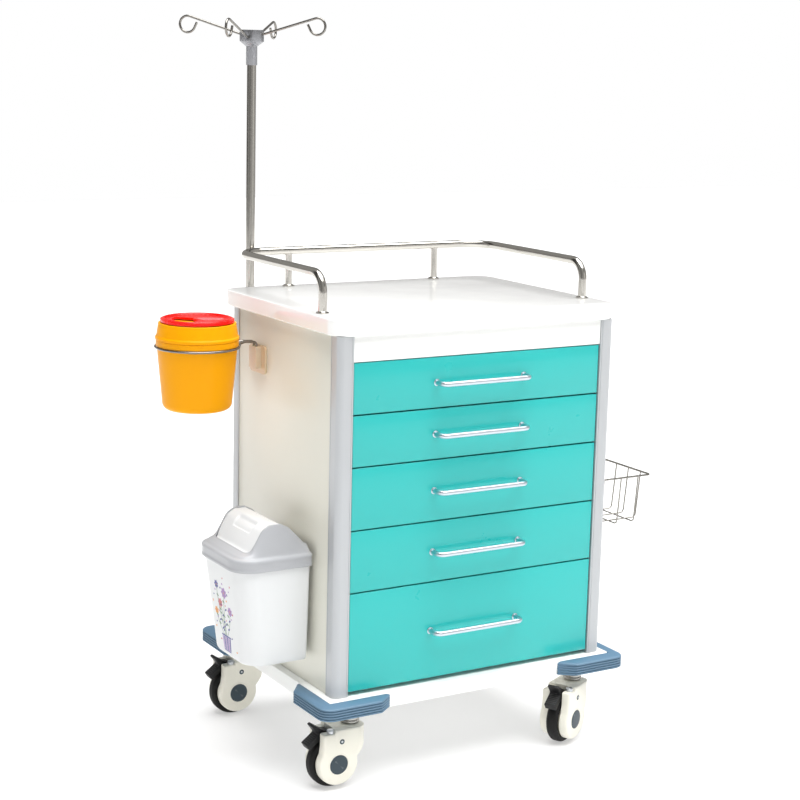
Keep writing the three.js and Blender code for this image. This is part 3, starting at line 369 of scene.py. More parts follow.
def cut(bm, *tools):
    """The shape with the tools' volumes taken away."""
    def loose(shape):
        mesh = bpy.data.meshes.new("boolean")
        shape.to_mesh(mesh)
        shape.free()
        obj = bpy.data.objects.new("boolean", mesh)
        bpy.context.scene.collection.objects.link(obj)
        return obj

    base = loose(bm)
    cutters = [loose(tool) for tool in tools]
    for cutter in cutters:
        modifier = base.modifiers.new("cut", "BOOLEAN")
        modifier.object = cutter
        modifier.solver = "EXACT"
    evaluated = base.evaluated_get(bpy.context.evaluated_depsgraph_get())
    mesh = bpy.data.meshes.new_from_object(evaluated)
    out = bmesh.new()
    out.from_mesh(mesh)
    bpy.data.meshes.remove(mesh)
    for obj in [base, *cutters]:
        old = obj.data
        bpy.data.objects.remove(obj)
        bpy.data.meshes.remove(old)
    bmesh.ops.remove_doubles(out, verts=out.verts, dist=0.001)
    return out


def from_node(node, edge, segments, angle):
    """A CAD node's own shape with its edges rounded."""
    bm = bmesh.new()
    bm.from_mesh(frame["nodes"][node].data)
    bmesh.ops.transform(bm, matrix=Matrix.Scale(1 / MM, 4) @ Matrix.Translation(-ORIGIN), verts=bm.verts)
    bmesh.ops.remove_doubles(bm, verts=bm.verts, dist=0.01)
    bmesh.ops.dissolve_limit(bm, angle_limit=math.radians(1), verts=bm.verts, edges=bm.edges)
    return round_edges(bm, edge, segments, angle)


def piece(name, bm, slot, body, *nodes, finish=None, sharp=32):
    """Makes the shape a piece that rides on a body and stands for the CAD nodes."""
    bmesh.ops.transform(bm, matrix=Matrix.Translation(ORIGIN) @ Matrix.Scale(MM, 4), verts=bm.verts)
    mesh = bpy.data.meshes.new(name)
    bm.to_mesh(mesh)
    bm.free()
    mesh.materials.append(finish or FINISH[slot])
    mesh.shade_smooth()
    mesh.set_sharp_from_angle(angle=math.radians(sharp))
    obj = bpy.data.objects.new(name, mesh)
    bpy.context.scene.collection.objects.link(obj)
    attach(obj, body)
    if nodes:
        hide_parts(*nodes)
    return obj


def rounded_node(name, node, slot, body, edge=0.6, segments=2, angle=30):
    """A piece that is a CAD node's own shape with its edges rounded."""
    piece(name, from_node(node, edge, segments, angle), slot, body, node)


# ---- Cabinet ----
# Quarter turns from the front left.
CORNERS = {"front_left": 0, "front_right": 1, "rear_right": 2, "rear_left": 3}


def build_worktop():
    low, high = span("worktop")
    corner, edge = 38, 2.8
    outline = rectangle(low.x, high.x, low.y, high.y, corner, 20)
    piece("worktop_shell", prism(outline, low.z, high.z, edge, 5), "white_worktop_plastic", "cart", "worktop")


def build_deck():
    """A tray with its skirt turned down, and a raceway ring and kingpin for each caster under it."""
    low, high = span("base_deck")
    skirt_bottom = span("front_left_bumper")[0].z - 1
    corner, sheet = 7, 2

    def outline(inset):
        return rectangle(low.x + inset, high.x - inset, low.y + inset, high.y - inset, corner - inset, 6)

    levels = [(sheet, high.z - sheet), (sheet, skirt_bottom), (0, skirt_bottom), (0, high.z - sheet),
              (0.6, high.z - 0.6), (sheet, high.z)]
    tray = loft([raised(outline(inset), z) for inset, z in levels])
    piece("deck_tray", tray, "white_enamel", "cart", "base_deck")
    under = high.z - sheet - 0.2
    for name in CORNERS:
        x, y = stem_place(name)
        top = span(name + "_caster_housing")[1].z + 2 * GAP
        ring = turned([(0, top), (16.5, top), (18, top + 1.5), (18, top + 5), (15.5, top + 6),
                       (17, top + 7.5), (17, top + 11), (12, top + 12), (12, under), (0, under)], 48, 0.6)
        piece(name + "_raceway", moved(ring, x, y), "zinc_plated_steel", "cart", finish=RACEWAY)
        pin = turned([(0, top - 12), (5, top - 12), (6, top - 11), (6, top + 1), (0, top + 1)], 32, 0.4)
        piece(name + "_kingpin", moved(pin, x, y), "zinc_plated_steel", "cart")


def joint_place(name):
    """Where the record puts a joint, in millimetres in the cart's frame."""
    joint = next(j for j in frame["joints"] if j["name"] == name)
    return (Vector(joint["pos_m"]) - ORIGIN) / MM


def stem_place(corner):
    """The caster's swivel axis."""
    place = joint_place(corner + "_swivel")
    return place.x, place.y


def build_posts():
    """Hollow extrusions with a rounded outer corner and a shallow groove beside each flange."""
    size, corner, wall = 31.0, 12.0, 2.5
    half = size / 2
    for name, turns in CORNERS.items():
        low, high = span(name + "_post")
        near, far, bed = half - 4.2, half - 3.4, -half + 0.7
        groove = [(near, -half), (near, bed), (far, bed), (far, -half)]
        outer = [(-half, -half), *groove, (half, -half), (half, half), (-half, half),
                 *[(y, x) for x, y in reversed(groove)]]
        radii = [corner] + [0] * 4 + [1.2, 1.2, 1.2] + [0] * 4
        outline = soften(outer, radii, 14)
        shell = loft([raised(outline, low.z), raised(outline, high.z)])
        inner = rectangle(-half + wall, half - wall, -half + wall, half - wall, [corner - wall, 1, 1, 1])
        hollow = loft([raised(inner, low.z - 1), raised(inner, high.z + 1)])
        middle = (low + high) / 2
        post = moved(cut(shell, hollow), middle.x, middle.y, 0, 90 * turns)
        piece(name + "_extrusion", post, "satin_aluminium", "cart", name + "_post")


def build_bumpers():
    """L-shaped guards with grooves along the outer faces."""
    leg, reach, corner, chamfer = 129.0, 26.0, 26.0, 33.0
    deck_low, deck_high = span("base_deck")
    low, high = span("front_left_bumper")

    def outline(inset):
        r = reach - inset
        tip = leg - inset * 0.4
        points = [(tip, -GAP), (-GAP, -GAP), (-GAP, tip), (-r, leg - chamfer), (-r, -r), (leg - chamfer, -r)]
        return soften(points, [1.5, 0, 1.5, 6, corner - inset, 6], 12)

    grooves, pitch, first = 4, 5.0, 4.4
    levels = [(2.2, low.z), (0.7, low.z + 0.6), (0, low.z + 1.6)]
    for i in range(grooves):
        z = low.z + first + i * pitch
        levels += [(0, z - 1.5), (0.5, z - 1.0), (2.4, z - 0.5), (2.4, z + 0.5), (0.5, z + 1.0), (0, z + 1.5)]
    levels += [(0.2, high.z - 4), (1.8, high.z - 2.4), (6, high.z - 1.0), (11, high.z)]
    for name, turns in CORNERS.items():
        x = deck_low.x if turns in (0, 3) else deck_high.x
        y = deck_low.y if turns in (0, 1) else deck_high.y
        guard = loft([raised(outline(inset), z) for inset, z in levels])
        guard = moved(guard, x, y, 0, 90 * turns)
        piece(name + "_guard", guard, "blue_grey_plastic", "cart", name + "_bumper", sharp=40)


def build_panels():
    for name in ("left_side_panel", "right_side_panel", "back_panel"):
        rounded_node(name + "_sheet", name, "cream_enamel", "cart")
    rounded_node("fascia_pan", "top_fascia", "white_enamel", "cart", 0.7, 3)
    for index in range(1, 6):
        name = "drawer_%d" % index
        rounded_node(name + "_pan", name + "_front", "teal_enamel", name, 0.7, 3)
        rounded_node(name + "_tray", name + "_box", "zinc_plated_steel", name, 0.5)


def build_handles():
    radius, bend = 5.0, 12.0
    for index in range(1, 6):
        name = "drawer_%d" % index
        low, high = span(name + "_handle")
        z = (low.z + high.z) / 2
        x0, x1, y = low.x + radius, high.x - radius, low.y + radius
        bar = sweep(bent([(x0, high.y, z), (x0, y, z), (x1, y, z), (x1, high.y, z)], bend, 10), radius, 24)
        feet = []
        for x in (x0, x1):
            foot = turned([(0, 0), (radius + 1.6, 0), (radius + 1.6, 0.8), (radius, 1.4), (0, 1.4)], 32, 0.3)
            feet.append(moved(lying(foot), x, high.y, z))
        pull = together(bar, *feet)
        piece(name + "_pull", pull, "stainless_steel", name, name + "_handle", finish=SATIN_BAR)


# ---- Guard rail and infusion pole ----
def build_rail():
    radius, post_radius, flange = 8.0, 7.0, 12.0
    half_spacing, foot_bend, corner_bend = 172, 66, 60
    low, high = span("guard_rail")
    left, right = low.x + flange, high.x - flange
    foot_y, rear_y = low.y + flange, high.y - flange
    foot, top = span("worktop")[1].z + 0.1, high.z - radius
    path = [(left, foot_y, foot), (left, foot_y, top), (left, rear_y, top), (right, rear_y, top),
            (right, foot_y, top), (right, foot_y, foot)]
    tube = sweep(bent(path, [0, foot_bend, corner_bend, corner_bend, foot_bend, 0], 18), radius, 32)
    piece("guard_rail_tube", tube, "stainless_steel", "cart", "guard_rail")
    plate = [(0, 0), (flange, 0), (flange, 2), (flange - 2.5, 3), (radius + 0.6, 3.4), (radius, 4.2),
             (0, 4.2)]
    middle = (left + right) / 2
    posts = [(middle - half_spacing, rear_y), (middle + half_spacing, rear_y)]
    for number, (x, y) in enumerate([(left, foot_y), (right, foot_y), *posts], 1):
        seat = moved(turned(plate, 40, 0.5), x, y, foot)
        piece("guard_rail_flange_%d" % number, seat, "stainless_steel", "cart")
    for number, (x, y) in enumerate(posts, 1):
        upright = sweep([(x, y, foot + 1), (x, y, top)], post_radius, 28)
        collar = turned([(0, 0), (post_radius + 0.8, 0), (post_radius + 0.3, -1.5), (0, -1.5)], 32, 0.3)
        post = together(upright, moved(collar, x, y, top - 6))
        piece("guard_rail_post_%d" % number, post, "stainless_steel", "cart")


HOOK_WIRE = 4.8


def build_pole():
    low, high = span("iv_pole")
    x, y = (low.x + high.x) / 2, (low.y + high.y) / 2
    radius = (high.x - low.x) / 2
    bore = radius - 1.5
    tube = turned([(bore, low.z), (radius, low.z), (radius, high.z), (bore, high.z)], 48, 0.4)
    piece("infusion_pole", moved(tube, x, y), "stainless_steel", "iv_pole", "iv_pole")
    rounded_node("pole_bracket", "iv_pole_bracket", "white_enamel", "cart", angle=35)
    rounded_node("pole_clamp_knob", "iv_clamp_knob", "black_plastic", "clamp_knob", 1.0, 3, 35)
    rounded_node("pole_hub", "iv_pole_hub", "cast_metal", "iv_pole", 0.9, 3, 25)
    for node, angle in (("iv_hook_rod_lower", 45), ("iv_hook_rod_upper", 135)):
        rod = moved(hook_rod(), x, y, span(node)[0].z + HOOK_WIRE / 2, angle)
        piece(node + "_wire", rod, "stainless_steel", "iv_pole", node, finish=DRAWN_WIRE)


def hook_rod():
    """A rod along X through the hub: two rising arms with a teardrop loop at each end."""
    rise, loop, reach = math.radians(17), 16.0, 150.0
    loop_turn, tail, bend_start, bend_radius = math.radians(261), 12.0, 25.0, 8.0
    state = {"u": 0.0, "w": 0.0, "heading": 0.0}
    points = []

    def forward(length, steps=1):
        for _ in range(steps):
            state["u"] += length / steps * math.cos(state["heading"])
            state["w"] += length / steps * math.sin(state["heading"])
            points.append((state["u"], state["w"]))

    def turn(angle, radius, steps):
        side = 1 if angle > 0 else -1
        u = state["u"] - side * radius * math.sin(state["heading"])
        w = state["w"] + side * radius * math.cos(state["heading"])
        for _ in range(steps):
            state["heading"] += angle / steps
            state["u"] = u + side * radius * math.sin(state["heading"])
            state["w"] = w - side * radius * math.cos(state["heading"])
            points.append((state["u"], state["w"]))

    forward(bend_start)
    turn(rise, bend_radius, 5)
    forward((reach - loop * (1 + math.sin(rise)) - state["u"]) / math.cos(rise), 4)
    turn(-loop_turn, loop, 36)
    forward(tail, 2)
    path = [(-u, 0, w) for u, w in reversed(points)] + [(u, 0, w) for u, w in points]
    return sweep(path, HOOK_WIRE / 2, 14)


# ---- Sharps container ----
POT_RADIUS, POT_SIDES = 76.2, 112


def build_sharps():
    """The container hangs in its ring, so every height here is from the ring's centre line."""
    low, high = span("sharps_bucket")
    ring_low, ring_high = span("sharps_ring")
    wire = 2.3
    x, y, ring_z = (low.x + high.x) / 2, (low.y + high.y) / 2, ring_high.z - wire

    def above_ring(node, end):
        return span(node)[end].z - ring_z

    def put(name, shape, slot, body, *nodes, finish=None):
        piece(name, moved(shape, x, y, ring_z), slot, body, *nodes, finish=finish)

    bucket = pail_profile(above_ring("sharps_bucket", 0), above_ring("sharps_bucket", 1), wire)
    put("sharps_pail", spun(bucket, POT_SIDES), "yellow_plastic", "sharps_container", "sharps_bucket")
    collar = sharps_collar(above_ring("sharps_lid", 0), above_ring("sharps_lid", 1))
    put("sharps_collar", collar, "yellow_plastic", "sharps_container", "sharps_lid")
    cover, door = sharps_disc(above_ring("sharps_lid_disc", 1))
    put("sharps_cover_disc", cover, "red_plastic", "sharps_cover", "sharps_lid_disc")
    put("sharps_cover_door", door, "red_plastic", "sharps_cover", finish=SHEEN_RED)
    ring = sharps_ring(wire, ring_high.x - wire - x, ring_low.z - ring_z)
    put("sharps_hoop", ring, "stainless_steel", "cart", "sharps_ring", finish=DRAWN_WIRE)
    rounded_node("sharps_wall_plate", "sharps_bracket", "beige_plastic", "cart", 1.0, 3, 35)


def pail_profile(base, seat, wire):
    """The pail from the middle of its floor out, up, over its rim and back along the inside."""
    bottom, lip = 66.0, 2
    return soften([(0, base), (bottom - 1, base), (POT_RADIUS, wire + GAP),
                   (POT_RADIUS + lip, wire + GAP + 0.4), (POT_RADIUS + lip, seat), (POT_RADIUS - lip, seat),
                   (POT_RADIUS - lip, wire), (bottom - 3, base + 2), (0, base + 2)],
                  [0, 14, 0.5, 0.6, 0.5, 0.5, 2, 12, 0], 10, closed=False)


def sharps_collar(start, top):
    """The yellow lid: a stepped rim around a plate with a round mouth in it."""
    plate = top - 4
    lid = soften([(0, plate), (POT_RADIUS - 8, plate), (POT_RADIUS - 1, start), (POT_RADIUS + 3.1, start),
                  (POT_RADIUS + 3.1, start + 5), (POT_RADIUS + 0.8, start + 8), (POT_RADIUS - 3, top),
                  (POT_RADIUS - 6.3, top), (POT_RADIUS - 6.3, plate + 3), (0, plate + 3)],
                 [0, 2, 0.5, 1.4, 2, 3, 1.5, 0.8, 1, 0], 8, closed=False)
    mouth = moved(prism(circle(24, 48), plate - 2, plate + 5), 30, -6)
    return cut(spun(lid, POT_SIDES), mouth)


def sharps_disc(rim):
    """The red disc with a half-moon opening, and the glossy door that lies in it."""
    floor = rim - 7.5
    disc = soften([(0, floor), (POT_RADIUS - 6.8, floor), (POT_RADIUS - 6.8, floor + 6),
                   (POT_RADIUS - 10.5, rim - 1.5), (POT_RADIUS - 12, rim), (POT_RADIUS - 13.6, rim),
                   (POT_RADIUS - 16.5, floor + 4), (0, floor + 4)],
                  [0, 0.4, 1.2, 1, 0.9, 0.9, 3, 0], 6, closed=False)
    angles = [i * 0.2 for i in range(-5, 6)]
    half_moon = [(0, -8), *[(-48 * math.cos(a), 48 * math.sin(a)) for a in angles], (0, 14), (-7, 3)]
    opening = prism(soften(half_moon, 3, 4), floor - 1, floor + 6)
    door = prism(soften([(2, -16), (46, -22), (50, 6), (2, 12)], 5, 8), floor + 2, floor + 4.9, 0.9, 3)
    return cut(spun(disc, POT_SIDES), opening), door


def sharps_ring(wire, pocket, tip):
    """The hoop, and two wires that run from it to the wall plate's pocket and turn down into it."""
    radius, spread = 79.0, 6
    hoop = sweep([(p.x, p.y, 0) for p in circle(radius, 128)], wire, 14, closed=True)
    necks = []
    for side in (-1, 1):
        path = [(radius - 2, side * 24, 0), (radius + 6, side * 9, 1), (radius + 18, side * spread, 3),
                (pocket, side * spread, 2), (pocket, side * spread, tip)]
        necks.append(sweep(bent(path, 7, 6), wire, 12))
    return together(hoop, *necks)


# ---- Waste bin ----
BIN_DEPTH, BIN_CORNER = 148.0, 40.0
FLOOR_WIDTH, FLOOR_DEPTH = 0.901, 0.838  # the floor's size as a share of the rim's


def bin_reach(height_share, width):
    """Half the bin's width and its depth at a share of its height, 0 at the floor and 1 at the rim."""
    return (width / 2 * (FLOOR_WIDTH + (1 - FLOOR_WIDTH) * height_share),
            BIN_DEPTH * (FLOOR_DEPTH + (1 - FLOOR_DEPTH) * height_share))


def bin_outline(height_share, inset, width, back):
    half, out = (reach - inset for reach in bin_reach(height_share, width))
    front, rear = BIN_CORNER - inset, max(9 - inset, 2)
    return soften([(back - out, -half), (back - inset, -half), (back - inset, half), (back - out, half)],
                  [front, rear, rear, front], 14)


def build_bin():
    low, high = span("bin_body")
    lid_low, lid_high = span("bin_lid")
    flap_low, flap_high = span("bin_flap")
    y = (low.y + high.y) / 2
    width = high.y - low.y
    back = low.x + BIN_DEPTH
    height = high.z - low.z
    wall = 2.2

    def ring(share, inset, lift=0.0):
        return raised(bin_outline(share, inset, width, back), low.z + share * height + lift)

    foot = [raised(bin_outline(share + z / height, inset, width, back), low.z + z)
            for share, inset, z in [(0.03, 6.5, 0.0), (0.01, 3, 1), (0, 0.8, 4), (0, 0, 8)]]
    outside = [ring(t, 0) for t in (0.25, 0.5, 0.75, 1)]
    inside = [ring(t, wall) for t in (1, 0.5, 0.05)] + [ring(0, 8, wall)]
    piece("bin_pail", moved(loft(foot + outside + inside), 0, y), "white_plastic", "bin", "bin_body")

    channel_low, channel_high = span("bin_hanger")
    start, end = channel_low.z + 4, channel_high.z + 6
    rails = []
    for side in (-1, 1):
        web, hook = side * 20.5, side * 14.5
        rails.append(rounded_block((back - 0.5, web - 2, start), (back + 8, web + 2, end), 0.6))
        rails.append(rounded_block((back + 4.4, hook - 5, start), (back + 7.2, hook + 5, end), 0.6))
    piece("bin_back_rails", moved(together(*rails), 0, y), "white_plastic", "bin")
    rounded_node("bin_wall_hanger", "bin_hanger", "zinc_plated_steel", "cart", 0.5)

    front, rear = flap_low.x - 0.5, flap_high.x + 0.5
    roof = roof_curve(front, rear, joint_place("bin_flap_swing").x, lid_high.z - 49, lid_high.z)
    cover = moved(bin_cover(lid_low, lid_high, roof, front, rear), 0, y)
    piece("bin_cover", cover, "grey_plastic", "bin_cover", "bin_lid", sharp=50)
    flap = moved(bin_flap(roof, front, rear), 0, y)
    piece("bin_swing_flap", flap, "white_plastic", "bin_swing", "bin_flap", sharp=50)


def roof_curve(front, rear, ridge_x, foot, ridge):
    """The roof's height from front to rear: a steep slope, a round ridge and a gentler slope."""
    corners = [(front, foot), (front + 6, foot + 2), (ridge_x - 28, ridge - 8), (ridge_x - 3, ridge + 6),
               (ridge_x + 26, ridge - 9), (rear - 6, foot + 9), (rear, foot + 5)]
    points = soften(corners, [0, 14, 24, 24, 30, 14, 0], 10, closed=False)

    def height(x):
        x = min(max(x, front), rear)
        for a, b in zip(points, points[1:]):
            if a.x <= x <= b.x:
                return min(a.y + (b.y - a.y) * (x - a.x) / max(b.x - a.x, 1e-6), ridge)
        return points[-1].y

    return height


def cover_ring(low_x, high_x, half, front_corner, rear_corner):
    """A rounded rectangle with the same number of points along each side whatever its size."""
    steps, along = 10, 26
    corners = [(low_x, -half), (high_x, -half), (high_x, half), (low_x, half)]
    points = soften(corners, [front_corner, rear_corner, rear_corner, front_corner], steps)
    ring = []
    for corner in range(4):
        arc = points[corner * (steps + 1):(corner + 1) * (steps + 1)]
        after = points[((corner + 1) * (steps + 1)) % len(points)]
        ring += arc + [arc[-1].lerp(after, i / along) for i in range(1, along)]
    return ring


def bin_cover(low, high, roof, front, rear):
    """A skirt with a rolled lip, a shoulder, and walls that lean in to the roof line around the flap."""
    skirt_top = high.z - 58
    half = (high.y - low.y) / 2
    inner_half, inner_corner = 73.0, 15

    def outer(inset):
        return cover_ring(low.x + inset, high.x - inset * 0.4, half - inset, 44 - inset, 10)

    def on_roof(outset, lift):
        """A ring around the opening, out from its edge, on the roof line."""
        ring = cover_ring(front - outset, rear + outset * 0.6, inner_half + outset, inner_corner + outset, 4)
        return [Vector((p.x, p.y, roof(p.x) + lift)) for p in ring]

    base, crest = outer(3.0), on_roof(3.6, -0.7)

    def wall(share, z, rise):
        """A ring part of the way in from the skirt to the crest, and part of the way up to it."""
        flat = [b.lerp(q.xy, share) for b, q in zip(base, crest)]
        return [Vector((p.x, p.y, skirt_top + z + (q.z - skirt_top - z) * rise)) for p, q in zip(flat, crest)]

    skirt = [(2.6, 17), (2.6, 0.4), (1.8, 0), (0.6, 0.2), (0, 1.2), (0, 4.5), (0.7, 5.4), (0.9, 8), (0.7, 16),
             (0, 17.5), (0, 20.5), (0.9, 22.8), (3.0, 24)]
    shoulder = [(0.13, 0.5, 0), (0.25, 1.4, 0), (0.33, 2.6, 0.03), (0.39, 3.4, 0.1), (0.52, 3, 0.3),
                (0.67, 3, 0.52), (0.82, 3, 0.75), (0.95, 3, 0.94)]
    lip = [(3.2, 0.0), (2.2, 0.4), (1.0, 0.4), (0.3, 0), (0, -0.8), (0, -7)]
    loops = [raised(outer(inset), low.z + z) for inset, z in skirt]
    loops += [wall(*level) for level in shoulder] + [crest]
    loops += [on_roof(*level) for level in lip]
    loops.append(raised(cover_ring(front, rear, inner_half, inner_corner, 4), low.z + 17.5))
    return loft(loops, caps=False, closed_path=True)


def bin_flap(roof, front, rear):
    """A curved sheet with round lower corners, a grip recess on its front slope, and two pivot ears."""
    half, thickness, corner, grip_depth = 72.2, 2.2, 20.0, 4.8
    rows, columns = 96, 96

    def edge_half(x):
        """Half the flap's width at a distance from its front edge, less in the round lower corners."""
        along = x - front
        if along < corner:
            return half - corner + math.sqrt(max(corner ** 2 - (corner - along) ** 2, 0))
        return half

    def grip(x, across):
        """How deep the recess is: flat inside, with sloped sides and round corners."""
        along, side = abs(x - (front + 31)) / 9.0, abs(across) / 37
        outline = (along ** 5 + side ** 14) ** 0.2
        return grip_depth * min(max((1.06 - outline) / 0.32, 0), 1)

    def surface(offset):
        rows_made = []
        for i in range(rows + 1):
            x = front + 0.6 + (rear - front - 1.2) * i / rows
            reach = edge_half(x)
            places = [reach * (2 * j / columns - 1) for j in range(columns + 1)]
            rows_made.append([Vector((x, y, roof(x) - thickness - offset - grip(x, y))) for y in places])
        return rows_made

    bm = bmesh.new()
    top = [[bm.verts.new(v) for v in row] for row in surface(0)]
    under = [[bm.verts.new(v) for v in row] for row in surface(thickness)]
    for i in range(rows):
        for j in range(columns):
            bm.faces.new((top[i][j], top[i][j + 1], top[i + 1][j + 1], top[i + 1][j]))
            bm.faces.new((under[i][j], under[i + 1][j], under[i + 1][j + 1], under[i][j + 1]))
        bm.faces.new((top[i][0], top[i + 1][0], under[i + 1][0], under[i][0]))
        bm.faces.new((top[i][-1], under[i][-1], under[i + 1][-1], top[i + 1][-1]))
    for j in range(columns):
        bm.faces.new((top[0][j], under[0][j], under[0][j + 1], top[0][j + 1]))
        bm.faces.new((top[-1][j], top[-1][j + 1], under[-1][j + 1], under[-1][j]))
    bmesh.ops.recalc_face_normals(bm, faces=bm.faces)
    pivot = joint_place("bin_flap_swing")
    ears = []
    for side in (-1, 1):
        ear = lying(prism(soften([(-18, 8), (-6, -6), (6, -6), (18, 8)], 3, 5), -1.4, 1.4, 0.4, 2))
        ears.append(moved(ear, pivot.x, side * (half - 2), pivot.z - 1))
        pin = lying(turned([(0, -2), (2.9, -2), (2.9, 2), (0, 2)], 24, 0.4))
        ears.append(moved(pin, pivot.x, side * (half + 1.2), pivot.z))
    return together(bm, *ears)


# ---- Wire basket ----
def build_basket():
    low, high = span("wire_basket")
    rim, thin, taper, bend = 2.0, 1.4, 9.0, 9
    plate_x = span("right_side_panel")[1].x + GAP
    back, outer = plate_x + 4.7, high.x - rim
    near, far = low.y + rim, high.y - rim
    top, floor = high.z - 6, low.z + thin * 2.4
    under = floor - thin * 1.4
    middle = (near + far) / 2
    loop = soften([(back, near, top), (outer, near, top), (outer, far, top), (back, far, top)], 7, 6)
    paths = []
    for index in range(7):
        y = middle + (index - 3) * 40
        paths.append([(back, y, top), (back + taper / 3, y, floor), (outer - taper, y, floor),
                      (outer, y, top)])
    for index in range(3):
        x = outer - 31 - index * 43
        paths.append([(x, near, top), (x, near + taper, under), (x, far - taper, under), (x, far, top)])
    wires = [sweep(loop, rim, 12, closed=True)] + [sweep(bent(path, bend, 7), thin, 10) for path in paths]
    piece("basket_wires", together(*wires), "stainless_steel", "cart", "wire_basket", finish=DRAWN_WIRE)
    for number, side in enumerate((-1, 1), 1):
        y = middle + side * 60
        parts = [rounded_block((plate_x, y - 25, top - 30), (plate_x + 3, y + 25, top + 6), 0.8)]
        for across in (-16, 16):
            screw = moved(turned([(0, 0), (4, 0), (4, 0.8), (2.6, 2), (0, 2.2)], 24, 0.4), turn=90, axis="Y")
            parts.append(moved(screw, plate_x + 2.8, y + across, top - 18))
        piece("basket_plate_%d" % number, together(*parts), "stainless_steel", "cart")


# ---- Casters ----
CASTER_TURN = {"front_left": 0, "front_right": 27, "rear_right": 0, "rear_left": 0}
TRAIL, WHEEL_RADIUS, HALF_HOUSING, HALF_SLOT = 38.0, 50.0, 30.5, 14.0


def caster_housing(top):
    """Two round cheeks and a head in one moulding, with a well for the wheel and a slot for the pedal."""
    cheek, round_steps = 40.5, 26
    start, end = math.pi - 0.55, 2 * math.pi + 0.25
    angles = [start + (end - start) * i / round_steps for i in range(round_steps + 1)]
    arc = [(-TRAIL + cheek * math.cos(a), WHEEL_RADIUS + cheek * math.sin(a)) for a in angles]
    outline = [(22, top), (-46, top), (-46, top - 6), (-70, top - 6), (-70, 88), *arc, (22, 84)]
    side = soften(outline, [3, 2, 2, 3, 14, *[0] * len(arc), 16], 7)
    middle = Vector((-TRAIL + 12, 66))

    def section(across, shrink):
        """The outline seen from the side, drawn in towards its middle, at a distance across."""
        points = [middle + (p - middle) * shrink for p in side]
        return [Vector((p.x, across, p.y)) for p in points]

    steps = [(1, 0.93), (0.985, 0.958), (0.95, 0.978), (0.89, 0.992), (0.8, 1.0)]
    loops = [section(-HALF_HOUSING * a, s) for a, s in steps]
    loops += [section(HALF_HOUSING * a, s) for a, s in reversed(steps)]
    well = lying(prism(circle(WHEEL_RADIUS + 2.5, 72), -HALF_SLOT, HALF_SLOT))
    slot = rounded_block((-TRAIL - 45, -HALF_SLOT, 60), (-44, HALF_SLOT, top + 2), 2)
    bore = prism(circle(6.4, 32), 80, top + 1)
    plan = rectangle(-TRAIL - 46, 22, -HALF_HOUSING, HALF_HOUSING, [10, 20, 20, 10], 12)
    whole = intersect(loft(loops), prism(plan, -5, top + 5))
    return cut(whole, moved(well, -TRAIL, 0, WHEEL_RADIUS), slot, bore)


def intersect(first, second):
    """What the two shapes share."""
    box = rounded_block((-400, -400, -400), (400, 400, 400), 0)
    return cut(first, cut(box, second))


def hub_side(side):
    """The dark cap in its ring, and the small screw above, on one cheek."""
    cap = turned([(0, -1), (19, -1), (19, 0.5), (18, 1.3), (12, 1.9), (0, 2.1)], 56, 0.5)
    ring = turned([(19.3, -1), (22.4, -1), (22.4, 0.6), (21.5, 1.3), (20, 1.3), (19.3, 0.6)], 56, 0.3)
    screw = turned([(0, -1), (5.6, -1), (5.6, 0.3), (4.6, 0.9), (0, 1.0)], 32, 0.3)
    socket = turned([(0, 0.6), (2.4, 0.6), (2.4, 1.25), (0, 1.3)], 6, 0.1)
    face = side * (HALF_HOUSING - 0.6)
    hub, pin = (-TRAIL, WHEEL_RADIUS), (-32, 94)
    return [moved(moved(shape, turn=-90 * side, axis="X"), x, face, z)
            for shape, (x, z) in ((cap, hub), (ring, hub), (screw, pin), (socket, pin))]


def build_casters():
    for name, swing in CASTER_TURN.items():
        x, y = stem_place(name)
        caster = name + "_caster"
        top = span(caster + "_housing")[1].z

        def put(suffix, shape, slot, body, *nodes, **rest):
            piece(name + suffix, moved(shape, x, y, 0, swing), slot, body, *nodes, **rest)

        put("_caster_cover", caster_housing(top), "cream_plastic", caster, caster + "_housing", sharp=38)
        for side, word in ((-1, "near"), (1, "far")):
            cap, ring, screw, socket = hub_side(side)
            put("_caster_cap_" + word, cap, "black_plastic", caster, finish=SLATE)
            put("_caster_bezel_" + word, ring, "cream_plastic", caster)
            put("_caster_screw_" + word, screw, "black_plastic", caster, finish=SLATE)
            put("_caster_socket_" + word, socket, "zinc_plated_steel", caster)
        axle = lying(turned([(0, -29), (4, -29), (4, 29), (0, 29)], 24, 0.5))
        put("_caster_axle", moved(axle, -TRAIL, 0, WHEEL_RADIUS), "zinc_plated_steel", caster)
        pivot = moved(lying(turned([(0, -24), (2.5, -24), (2.5, 24), (0, 24)], 20, 0.5)), -54, 0, 105.5)
        nut = turned([(0, 0), (6.5, 0), (7, 1.5), (7, 8), (6, 9.5), (0, 10)], 28, 0.8)
        put("_pedal_pin", together(pivot, moved(nut, -52, -20.5, 108.5)), "zinc_plated_steel", caster)
        tyre, core = wheel()
        put("_tyre", tyre, "black_tyre", name + "_wheel", caster + "_wheel")
        put("_wheel_core", core, "cream_plastic", name + "_wheel")
        put("_pedal", pedal(), "black_plastic", name + "_brake", name + "_brake_pedal", sharp=45)


def wheel():
    """The rubber tyre, and the dished core that it sits on."""
    half = 12.0
    tyre = soften([(39, -half + 1), (41, -half), (46, -half), (50, -half + 5), (50, half - 5), (46, half),
                   (41, half), (39, half - 1)], [0.5, 1, 3, 6, 6, 3, 1, 0.5], 6)
    core = [(4.4, 1), (9, 1), (10, 4), (34, 5), (36, 1.5), (39.2, 1.5)]  # radius, and inset from the side
    profile = [(r, -half + inset) for r, inset in core] + [(r, half - inset) for r, inset in reversed(core)]
    return [moved(lying(shape), -TRAIL, 0, WHEEL_RADIUS)
            for shape in (spun(tyre, 96), turned(profile, 72, 0.8))]


